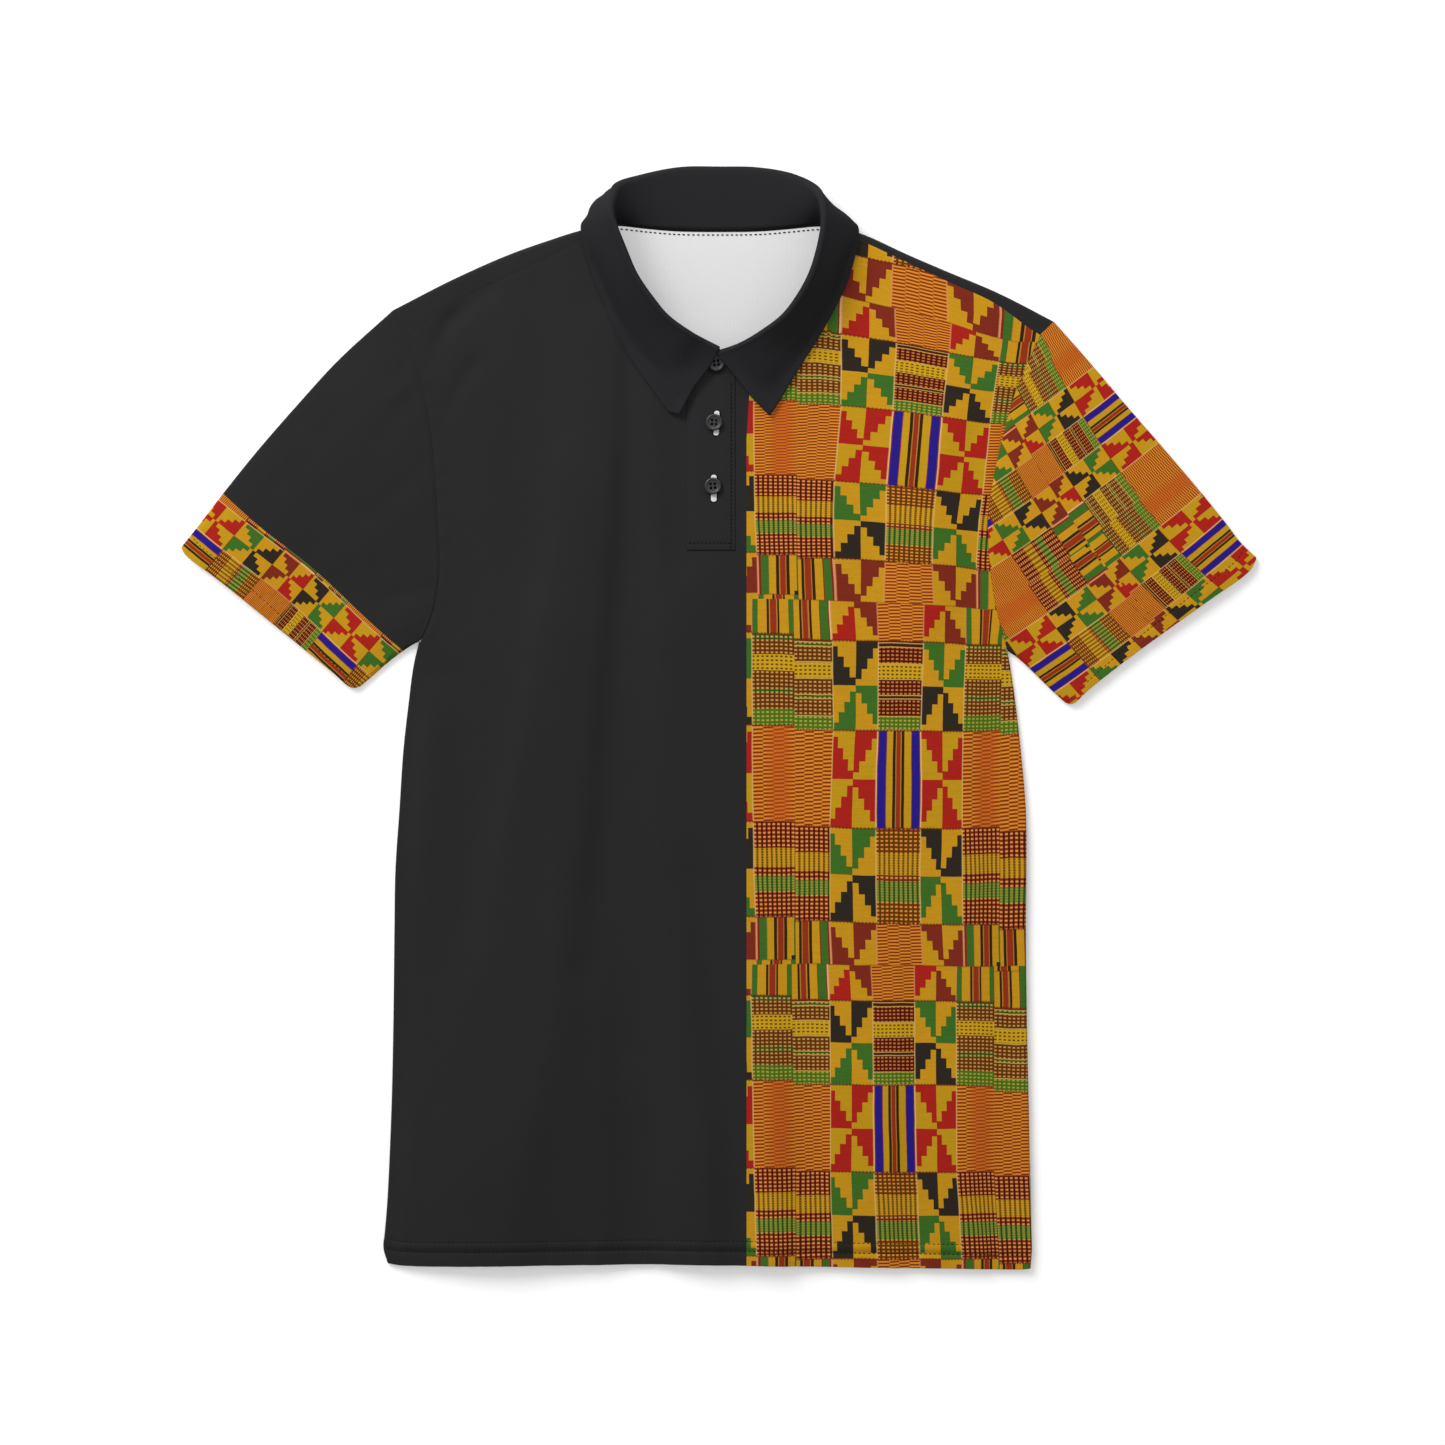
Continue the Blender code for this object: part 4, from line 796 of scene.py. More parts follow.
def sleeve_print(x, y, fit):
    cx = (x / CHART + CHART_0[0] - 1110) / 100
    cy = (CHART_0[1] - y / CHART - 540) / 100
    a = np.stack([np.ones_like(cx), cx, cy, cx * cx, cx * cy, cy * cy], -1)
    return np.stack([(a @ fit[0]) / 10.0, (a @ fit[1]) / 1000.0], -1)


# Colours of the print.
def ink(r, g, b):
    return dye(r, g, b - 5)


GOLD = ink(197, 144, 30)
LEMON = ink(190, 146, 28)
RED = ink(168, 33, 30)
MAROON = ink(124, 42, 31)
GREEN = ink(60, 106, 40)
INK = ink(45, 38, 36)
LINE = ink(50, 32, 18)
BLUE = dye(38, 26, 130)
MAGENTA = ink(130, 35, 80)
CREAM = ink(222, 182, 120)
SALMON = ink(216, 140, 98)
PALE = ink(188, 156, 78)
TAN = ink(178, 122, 50)
BRICK = ink(148, 48, 26)
DARK_MAROON = ink(78, 16, 9)
OLIVE_BROWN = ink(94, 52, 12)
BROWN = ink(96, 48, 10)
DOT = ink(226, 152, 84)
DOT_GOLD = ink(214, 156, 56)
DOT_PALE = ink(206, 150, 82)
DOT_RED = ink(206, 122, 62)
DOT_LEAF = ink(178, 160, 72)
TICK = ink(84, 60, 16)
WEAVE = ink(178, 96, 30)
WEAVE_DARK = ink(122, 46, 12)
WEAVE_LIGHT = ink(226, 139, 48)
WEAVE_RED = ink(186, 74, 28)
LEAF = ink(70, 110, 26)
MOSS = ink(44, 80, 24)
LEAF_TICK = ink(152, 152, 66)
COLUMN_LEAF = ink(112, 122, 44)
COLUMN_GOLD = ink(206, 150, 34)
BESIDE_GOLD = ink(150, 102, 20)
BETWEEN = ink(128, 42, 17)
GOLD_DIM = ink(196, 148, 38)
YELLOW = ink(204, 158, 30)

N_STRIPES = ((0, CREAM), (.018, MAGENTA), (.04, BLUE), (.205, MAGENTA), (.225, LEMON),
             (.36, LINE), (.425, TAN), (.445, BRICK), (.535, TAN), (.555, LINE),
             (.62, LEMON), (.775, MAGENTA), (.79, BLUE), (.955, MAGENTA), (.98, CREAM))
# The narrow stripes of the W strips, in the upper and lower part of row R3.
W1_UPPER = ((0, SALMON), (.035, MAROON), (.09, GREEN), (.275, TAN), (.295, GOLD), (.455, LINE),
            (.53, TAN), (.555, BRICK), (.69, TAN), (.71, LINE), (.785, GOLD), (.96, GREEN))
W1_LOWER = ((0, GREEN), (.14, GOLD), (.355, LINE), (.41, TAN), (.44, BRICK), (.585, TAN),
            (.61, LINE), (.655, GOLD), (.875, GREEN), (.985, MAROON))
W2_UPPER = ((0, GOLD), (.09, LINE), (.165, TAN), (.19, BRICK), (.36, TAN), (.385, LINE),
            (.465, GOLD), (.685, MAROON), (.715, GREEN), (.91, MAROON), (.955, SALMON))
W2_LOWER = ((0, GOLD), (.145, LINE), (.205, TAN), (.235, BRICK), (.375, TAN), (.415, LINE),
            (.48, GOLD), (.685, MAROON), (.705, GREEN), (.92, MAROON), (.95, CREAM))
# Dotted blocks, down the row: (start, ground, dots, how tall the dots are).
DOTS_W2 = ((0, DARK_MAROON, DOT, .42), (.27, TICK, GOLD_DIM, .5),
           (.47, DARK_MAROON, DOT, .42), (.57, MOSS, LEAF_TICK, .5),
           (.73, DARK_MAROON, DOT, .42))
DOTS_N2 = ((0, OLIVE_BROWN, DOT_GOLD, .42), (.26, TICK, GOLD_DIM, .5),
           (.49, OLIVE_BROWN, DOT, .42), (.56, MOSS, LEAF_TICK, .5),
           (.77, OLIVE_BROWN, DOT_GOLD, .42))
# What runs down a column between its dots: (start, in the column, beside it).
COLUMNS_W2 = ((0, BETWEEN, DARK_MAROON), (.27, COLUMN_GOLD, BESIDE_GOLD), (.47, BETWEEN, DARK_MAROON),
              (.57, COLUMN_LEAF, MOSS), (.73, BETWEEN, DARK_MAROON))
COLUMNS_N2 = ((0, BETWEEN, OLIVE_BROWN), (.26, COLUMN_GOLD, BESIDE_GOLD), (.49, BETWEEN, OLIVE_BROWN),
              (.56, COLUMN_LEAF, MOSS), (.77, BETWEEN, OLIVE_BROWN))
DOTS_W4A = ((0, MOSS, DOT_PALE, .5), (.06, BROWN, DOT_PALE, .44), (.225, YELLOW, TICK, .42),
            (.40, BROWN, DOT_PALE, .44), (.585, MOSS, DOT_PALE, .5), (.66, BROWN, DOT_PALE, .44),
            (.82, LEAF, DOT_LEAF, .44))
DOTS_W4B = ((0, BROWN, DOT_PALE, .5), (.016, PALE, PALE, .5), (.030, MOSS, DOT_PALE, .5),
            (.062, PALE, PALE, .5), (.076, BROWN, DOT_PALE, .44), (.238, PALE, PALE, .5),
            (.252, YELLOW, TICK, .42), (.416, PALE, PALE, .5), (.430, BROWN, DOT_PALE, .44),
            (.600, PALE, PALE, .5), (.613, MOSS, DOT_PALE, .5), (.641, PALE, PALE, .5),
            (.655, BROWN, DOT_PALE, .44), (.833, PALE, PALE, .5), (.846, LEAF, DOT_LEAF, .44),
            (.985, PALE, PALE, .5))
DOTS_N4 = ((0, DARK_MAROON, DOT_RED, .5), (.012, PALE, PALE, .5), (.025, DARK_MAROON, INK, .5),
           (.062, PALE, PALE, .5), (.074, DARK_MAROON, DOT_RED, .44), (.246, PALE, PALE, .5),
           (.257, YELLOW, TICK, .44), (.420, PALE, PALE, .5), (.431, DARK_MAROON, DOT_RED, .44),
           (.600, PALE, PALE, .5), (.610, DARK_MAROON, INK, .5), (.638, PALE, PALE, .5),
           (.649, DARK_MAROON, DOT_RED, .44), (.834, PALE, PALE, .5), (.845, LEAF, DOT_LEAF, .44),
           (.985, PALE, PALE, .5))


def kente(n, s, v):
    """The pattern's colour at strip value s and row value v."""
    # Sideways steps, and the offsets of single strips up or down.
    across = s
    for at, base, more, start, span in SIDE_STEPS:
        step = ((across - start) * (1 / span)).clip() * (more / 41.0) + base / 41.0
        s = s - (v > at) * step
    v = v + (s > 0.0) * (s < 1.0) * 4.5 - (s > 6.0) * (s < 7.0) * 5.0
    v = v + (s < 0.0) * (5.0 + (1.0 - v * (1 / 300.0)).clip() * 6.0)
    wob = n.noise(n.vector(s * 1.7, v / 40.0), 1.0, 2.0)
    s = s + (wob - 0.5) * 0.03
    v = v + (wob - 0.5) * 1.6
    strip = s.mod(5.0)
    row = v.mod(float(ROW_PERIOD))
    cx = strip.frac()

    def part(a, b):
        return (row - a) * (1.0 / (b - a))

    # Dotted ground: columns and rows of small squares.
    def dotted(table, y, columns, pitch, columns_of=None):
        yy = y.clip()
        ground = n.ramp(yy, [(t[0], t[1]) for t in table])
        dot = n.ramp(yy, [(t[0], t[2]) for t in table])
        tall = n.step_ramp(yy, [(t[0], t[3]) for t in table])
        dx = (cx * columns + 0.25).frac()
        dy = (row * (1.0 / pitch)).frac()
        wide = (dx.soft(0.22, 0.14) - dx.soft(0.78, 0.14)).clip()
        high = (dy.soft(0.22, 0.16) - (dy - tall).soft(0.22, 0.16)).clip()
        if columns_of is None:
            return n.mix(wide * high, ground, dot)
        # Columns of their own tone, and finer rows in the bands of gold and leaf.
        inside = n.ramp(yy, [(t[0], t[1]) for t in columns_of])
        beside = n.ramp(yy, [(t[0], t[2]) for t in columns_of])
        fine = ((yy > columns_of[1][0]) * (yy < columns_of[2][0])
                + (yy > columns_of[3][0]) * (yy < columns_of[4][0])).clip()
        thin = ((row * (1.6 / pitch)).frac() - 0.5).abs().soft(0.25, 0.2)
        high = high + fine * (thin - high)
        return n.mix(wide, n.mix(high, beside, ground), n.mix(high, inside, dot))

    # Orange weave: dashes in columns, every other column half a step down.
    def weave(columns, pitch, contrast):
        col = (cx * columns).floor()
        inner = (cx * columns).frac()
        y = (row * (1.0 / pitch) + (col * 0.5).frac() + (inner - 0.5) * 0.12).frac()
        tone = 1.0 - (y - 0.5).abs().soft(0.25, 0.22)      # 1 on the bright thread
        edge = (inner.soft(0.08, 0.12) - inner.soft(0.94, 0.12)).clip()
        return (tone - 0.5) * (edge * 0.6 + 0.4) * contrast + 0.5

    # P strips: half-cells with a five-step stair.
    half = (cx * 2.0).min(1.999)
    right = half.floor()
    px = half.frac()
    is_p2 = strip > 4.0
    px = px + is_p2 * (1.0 - px * 2.0)      # P2 mirrors P1
    right_m = right + is_p2 * (1.0 - right * 2.0)
    r1, r2 = row < 96.0, (row > 96.0) * (row < 191.0)
    r3, r4 = (row > 191.0) * (row < 269.0), row > 269.0
    y1, y2, y4 = part(0, 96), part(96, 191), part(269, 353)
    y3 = (row < 232.0) * part(191, 232) * 0.5 + (row > 232.0) * (
        part(232, 269) * 0.5 + 0.5)
    cy = r1 * y1 + r2 * y2 + r3 * y3 + r4 * y4
    cy2 = (cy * 2.0).clip() * (cy < 0.5) + (cy * 2.0 - 1.0).clip() * (cy > 0.5)
    low = cy > 0.5
    # Upper left: colour grows downwards from the left; upper right: shrinks.
    down = (cy2 * 4.35 + 0.42).floor() * 0.25
    up = ((1.0 - cy2) * 4.35 + 0.38).floor() * 0.25
    grow = px < down
    shrink = px < up
    grow_r = (1.0 - px) < down
    shrink_r = (1.0 - px) < up
    upper = (1.0 - right_m) * grow + right_m * shrink
    lower = (1.0 - right_m) * grow_r + right_m * shrink_r
    coloured = (1.0 - low) * upper + low * lower
    # Colours of the stairs, by row and half.
    first = n.mix(is_p2, GREEN, INK)         # upper half of R2
    second = n.mix(is_p2, INK, GREEN)
    c_r2 = n.mix(low, first, second)
    c_r4 = n.mix(low, second, first)
    stair = n.mix(r1, MAROON, RED)
    stair = n.mix(r3 * low * (1.0 - right).max(v < -800.0), stair, RED)
    stair = n.mix(r2, stair, c_r2)
    stair = n.mix(r4, stair, c_r4)
    gold = n.mix(r1, GOLD, LEMON)
    p_block = n.mix(coloured, gold, stair)

    # N strips.
    c = n.mix(weave(4.0, 3.25, 1.15).clip(), WEAVE_DARK, WEAVE_LIGHT)
    n_block = n.mix(r1, c, n.ramp(cx, N_STRIPES))
    n_block = n.mix(r2, n_block, dotted(DOTS_N2, y2, 9.3, 4.1, COLUMNS_N2))
    n_block = n.mix(r4, n_block, dotted(DOTS_N4, y4, 10.0, 3.6))

    # W strips.
    is_w2 = (strip > 1.0) * (strip < 2.0)
    middle = (1.0 - is_w2) * (1.0 - (cx - 0.64).abs().soft(0.25, 0.20))
    c = n.mix(weave(4.0, 3.85, 1.15).clip(), WEAVE_DARK, WEAVE_LIGHT)
    c = n.mix(middle * 0.5, c, WEAVE_RED)
    lower = row > 232.0
    w_block = n.mix(is_w2, n.mix(lower, n.ramp(cx, W1_UPPER), n.ramp(cx, W1_LOWER)),
                    n.mix(lower, n.ramp(cx, W2_UPPER), n.ramp(cx, W2_LOWER)))
    patch = (1.0 - is_w2) * (cx > 0.89) * (row > 227.8) * (row < 232.0)
    w_block = n.mix(patch, w_block, ink(28, 44, 24))
    w_block = n.mix(r1, w_block, c)
    w_block = n.mix(r2, w_block, dotted(DOTS_W2, y2, 8.7 - is_w2 * 1.7, 4.2, COLUMNS_W2))
    w_block = n.mix(r4, w_block, n.mix(is_w2, dotted(DOTS_W4A, y4, 9.0, 3.65),
                                       dotted(DOTS_W4B, y4, 8.0, 3.65)))

    is_n = (strip > 3.0) * (strip < 4.0)
    is_w = strip < 2.0
    out = n.mix(is_n, p_block, n_block)
    out = n.mix(is_w, out, w_block)

    # Cream threads between strips, and ragged dark threads between rows.
    near = (strip - 2.0).abs().min((strip - 3.0).abs()).min(
        (strip - 4.0).abs()).min((strip - 5.0).abs().min(strip))
    out = n.mix((1.0 - near.soft(0.014, 0.012)) * 0.62, out, n.mix(r3, CREAM, SALMON))
    saw = ((cx * 13.0).frac() - 0.5).abs() * 2.4
    edges = row.min((row - 96.0).abs()).min((row - 191.0).abs()).min(
        (row - 269.0).abs()).min(353.0 - row)
    out = n.mix((1.0 - (edges - saw).soft(0.2, 0.7)) * 0.75, out, dye(100, 26, 16))
    step = (1.0 - ((row - 232.0).abs() - saw * 0.5).soft(0.2, 0.6)) * (r3 * 0.45)
    out = n.mix(step, out, dye(112, 46, 16))
    # Threads run across: faint uneven streaks.
    streak = n.noise(n.vector(s * 3.0, v * 0.55), 1.0, 3.0, 0.6)
    return n.scale(out, 0.82 + streak * 0.36)


def cloth(name, outer, inside=False, printed=None, spec=0.05, rough=0.86,
          sheen=0.02, knit=1.0, marl=0.10):
    """Fine jersey: loops as bump, slight unevenness, and the print if any."""
    n = Nodes(name)
    ku, kv = n.uv("knit")              # metres on the cloth
    x, y = ku * 1000.0, kv * 1000.0    # millimetres
    flow = n.noise(n.vector(x * 0.011, y * 0.011), 1.0, 3.0)
    cloudy = n.noise(n.vector(x * 0.05, y * 0.05), 1.0, 2.0)
    fuzz = n.noise(n.vector(x * 1.1, y * 0.8), 1.0, 3.0, 0.7)
    # Loops: two legs to a wale, rows offset by the leg's slope.
    wale = (x * (1 / 0.95))
    leg = (wale.frac() - 0.5).abs() * 2.0
    loop = ((y * (1 / 0.8) + leg * 0.55).frac() - 0.5).abs() * 2.0
    height = leg * 0.55 + (1.0 - loop) * 0.45 + fuzz * 0.35
    colour = outer
    if printed is not None:
        pu, pv = n.uv("print")
        s, v = pu * 10.0, pv * 1000.0
        colour = n.mix(printed(x, y, s, v), outer, kente(n, s, v))
    shade = 1.0 + (flow - 0.5) * marl + (cloudy - 0.5) * marl * 0.5 + (
        fuzz - 0.5) * marl * 1.2 - (1.0 - loop) * 0.03
    n.put(n.bsdf.inputs["Base Color"], n.scale(colour, shade))
    n.put(n.bsdf.inputs["Roughness"], (rough - 0.06) + fuzz * 0.12)
    n.bsdf.inputs["Specular IOR Level"].default_value = spec
    n.bsdf.inputs["Sheen Weight"].default_value = sheen
    n.bsdf.inputs["Sheen Roughness"].default_value = 0.5
    n.put(n.bsdf.inputs["Normal"], n.bump(height, 0.00012 * knit, 0.55))
    n.mat.diffuse_color = outer
    return n.mat


def thread(name, colour):
    n = Nodes(name)
    pu, pv = n.uv("knit")
    twist = ((pu * 2600.0 + pv * 900.0).sin()) * 0.5 + 0.5
    n.put(n.bsdf.inputs["Base Color"], n.scale(colour, 0.8 + twist * 0.35))
    n.put(n.bsdf.inputs["Roughness"], 0.7 + twist * 0.15)
    n.bsdf.inputs["Specular IOR Level"].default_value = 0.12
    n.put(n.bsdf.inputs["Normal"], n.bump(twist, 0.00005, 0.6))
    n.mat.diffuse_color = colour
    return n.mat


def resin(name, colour):
    """Moulded button resin, its tone uneven in swirls, with fine turning marks."""
    n = Nodes(name)
    pu, pv = n.uv("knit")
    swirl = n.noise(n.vector(pu * 900.0, pv * 260.0), 1.0, 3.0, 0.6)
    turn = n.noise(n.vector(pu * 4200.0, pv * 60.0), 1.0, 1.0)
    n.put(n.bsdf.inputs["Base Color"], n.scale(colour, 0.75 + swirl * 0.5))
    n.put(n.bsdf.inputs["Roughness"], 0.34 + swirl * 0.16)
    n.bsdf.inputs["Specular IOR Level"].default_value = 0.38
    n.put(n.bsdf.inputs["Normal"], n.bump(turn, 0.00003, 0.4))
    n.mat.diffuse_color = colour
    return n.mat


# ------------------------------------------------------------------- front
def spaced(*parts):
    """Joined linspaces: (start, end, cells), ..."""
    out = [np.array([parts[0][0]])]
    for a, b, k in parts:
        out.append(np.linspace(a, b, k + 1)[1:])
    return np.concatenate(out)


def neck_points():
    """The front's neck edge, outside the neck seam, as sorted x and y."""
    xs, ys = [], []
    for curve, sign in ((NECK_L, -1), (NECK_R, 1)):
        s = np.linspace(0, 1, 200)
        p, t = curve.at(s), curve.tangent(s)
        n = np.stack([-t[:, 1], t[:, 0]], -1) if sign < 0 else np.stack([t[:, 1], -t[:, 0]], -1)
        reach = 1.5 + 1.4 * smooth(35, 70, np.abs(p[:, 0]))
        q = p + reach[:, None] * n
        xs.append(q[:, 0])
        ys.append(q[:, 1])
    return xs, ys


NECK_X, NECK_Y = neck_points()


def neck_edge(x):
    out = []
    for v in np.atleast_1d(x):
        k = 0 if v < -0.7 else 1
        out.append(NECK_Y[k][np.argmin(np.abs(NECK_X[k] - v))])
    return np.array(out) if np.ndim(x) else float(out[0])


CHEST = 96
ARM_TOP = (264.6, 268.2)


def grid_columns(n_out, chest):
    """Column descriptions: (kind, left, value)."""
    outer = np.linspace(1, 0, n_out + 1)[:-1]
    return ([("out", True, k) for k in outer] + [("fix", x < 0, x) for x in chest]
            + [("out", False, k) for k in outer[::-1]])


def column_x(col, x_l, x_r):
    if col[0] == "fix":
        return np.full(np.shape(x_l), col[2], float)
    return (-CHEST + col[2] * (x_l + CHEST) if col[1] else CHEST + col[2] * (x_r - CHEST))


def shoulder_share(col):
    seam = SEAM_L if col[1] else SEAM_R
    at = CHEST if col[0] == "out" else abs(col[2])
    fixed = float(np.interp(at, np.abs(seam.p[:, 0]), seam.s))
    return fixed + (1 - fixed) * col[2] if col[0] == "out" else fixed


HEM_ROWS = spaced((0, 3, 3), (3, 8, 3), (8, 19, 11), (19, 24, 2))


def body_rows(step):
    """Left and right heights of the rows from the hem to the slot's foot."""
    n1 = int((53.1 + 357) / step)
    n2 = int((122.6 - 53.1) / step)
    left = np.concatenate([-381.6 + HEM_ROWS, np.linspace(-381.6 + 24, 53.1, n1 + 1)[1:],
                           np.linspace(53.1, 122.6, n2 + 1)[1:]])
    right = np.concatenate([-385.2 + HEM_ROWS, np.linspace(-385.2 + 24, 46.8, n1 + 1)[1:],
                            np.linspace(46.8, 122.6, n2 + 1)[1:]])
    corner = len(HEM_ROWS) - 1 + n1
    return left, right, corner


ROLL_STEPS = 7


def make_front(materials):
    chest = spaced((-96, SLOT[0], 25), (SLOT[0], SLOT[1], 9), (SLOT[1], 96, 29))
    cols = grid_columns(36, chest)
    left, right, corner = body_rows(3.0)
    n_high = 66
    f_high = np.linspace(0, 1, n_high + 1)[1:]
    tops = []
    for col in cols:
        if col[0] == "fix" and abs(col[2]) < 77:
            tops.append((col[2], neck_edge(col[2])))
        else:
            p = (SEAM_L if col[1] else SEAM_R).at(shoulder_share(col))
            tops.append((p[0], p[1] - SEAM))
    tops = np.array(tops)
    n_low = len(left)
    y_l = np.concatenate([left, 122.6 + f_high * (ARM_TOP[0] - 122.6)])
    y_r = np.concatenate([right, 122.6 + f_high * (ARM_TOP[1] - 122.6)])
    rows_n = len(y_l)
    x_l = np.where(np.arange(rows_n) <= corner, side_x(y_l, True) + FOLD_R,
                   ARM_L.x_at(y_l) + SEAM / 2)
    x_r = np.where(np.arange(rows_n) <= corner, side_x(y_r, False) - FOLD_R,
                   ARM_R.x_at(y_r) - SEAM / 2)
    x = np.stack([column_x(c, x_l, x_r) for c in cols], 1)
    y = np.zeros_like(x)
    low = slice(0, n_low)
    share = (x[low] - x_l[low, None]) / (x_r[low] - x_l[low])[:, None]
    y[low] = y_l[low, None] + (y_r[low] - y_l[low])[:, None] * share
    # Rows by the hem follow it.
    base = HEM.y_at(x[0])
    for r in range(len(HEM_ROWS)):
        y[r] = HEM.y_at(x[r]) + HEM_ROWS[r]
    fade = smooth(24, 90, np.arange(rows_n)[low] * 0 + (y_l[low] + 381.6))
    follow = HEM.y_at(x[low]) + (y_l[low] + 381.6)[:, None]
    y[low] = np.where(fade[:, None] < 1, follow * (1 - fade[:, None]) + y[low] * fade[:, None], y[low])
    for k, f in enumerate(f_high):
        r = n_low + k
        y[r] = SLOT_FOOT + f * (tops[:, 1] - SLOT_FOOT)
        y[r, 0], y[r, -1] = y_l[r], y_r[r]
        x[r] = x[r] + (tops[:, 0] - x[-1] * 0 - column_top(cols, x_l, x_r)) * f ** 3
    z = front_face(x, y)
    shoulder = np.array([c[0] == "out" or abs(c[2]) >= 77 for c in cols])
    for k, f in enumerate(f_high):
        r = n_low + k
        d = (tops[:, 1] - y[r])
        z[r] -= np.where(shoulder, 0.12 * bell(d, 1.0) - 0.08 * bell(d - 3, 1.8), 0)
    # Side rolls: quarter turns down to the surface.
    m = ROLL_STEPS + 1
    grid = np.zeros((rows_n, len(cols) + 2 * m, 3))
    grid[:, m:-m] = np.stack([x, y, z], -1)
    for side in (0, 1):
        sign = -1 if side == 0 else 1
        e = grid[:, m if side == 0 else -m - 1].copy()
        for j in range(1, m + 1):
            a = math.radians(90 * min(j, ROLL_STEPS) / ROLL_STEPS)
            q = e.copy()
            q[:, 0] += sign * FOLD_R * math.sin(a)
            q[:, 2] -= FOLD_R * (1 - math.cos(a))
            if j == m:
                q[:, 2] = 0.0
                q[:, 0] -= sign * 0.12
            q[corner + 1:] = e[corner + 1:]
            grid[:, (m - j) if side == 0 else (-m - 1 + j)] = q
    n = normals(grid)
    # Plain outward normals on the rolls, and none crossing the closed columns.
    for j in range(m):
        for side in (0, 1):
            a = math.radians(90 * min(m - j, ROLL_STEPS) / ROLL_STEPS)
            sign = -1 if side == 0 else 1
            n[:, j if side == 0 else -1 - j] = (sign * math.sin(a), 0, math.cos(a))
    inner_n = normals(grid[:, m:-m])
    n[:, m], n[:, -m - 1] = inner_n[:, 0], inner_n[:, -1]
    n[corner + 1:, m:-m] = inner_n[corner + 1:]
    keep = np.ones((rows_n - 1, grid.shape[1] - 1), bool)
    keep[corner:, :m] = False
    keep[corner:, -m:] = False
    cx = [c[2] if c[0] == "fix" else None for c in cols]
    a = m + next(i for i, c in enumerate(cx) if c is not None and abs(c - SLOT[0]) < 1e-6)
    b = m + next(i for i, c in enumerate(cx) if c is not None and abs(c - SLOT[1]) < 1e-6)
    keep[n_low - 1:, a:b] = False
    gap = hem_gap(grid[..., 0], grid[..., 1])
    t = PLY + 0.7 * smooth(19.2, 18.2, gap) * (np.abs(n[..., 2]) > 0.9)
    # Print and knit follow the cloth round the roll.
    flat_x = grid[..., 0].copy()
    for j in range(m):
        arc = FOLD_R * math.pi / 2 * (m - j) / ROLL_STEPS
        flat_x[:corner + 1, j] = grid[:corner + 1, m, 0] - arc
        flat_x[:corner + 1, -1 - j] = grid[:corner + 1, -m - 1, 0] + arc
    skin = Skin()
    skin.shell(grid, t, front_print(flat_x, grid[..., 1]),
               np.stack([flat_x, grid[..., 1]], -1) * MM, keep=keep, n=n)
    obj = skin.build("front_cloth", materials, "front_cloth", ["front"], 48)
    return obj, grid[:, m:-m], n[:, m:-m]


def column_top(cols, x_l, x_r):
    """Where the columns would end without the seam's own spacing."""
    return np.array([float(column_x(c, np.array(x_l[-1]), np.array(x_r[-1]))) for c in cols])


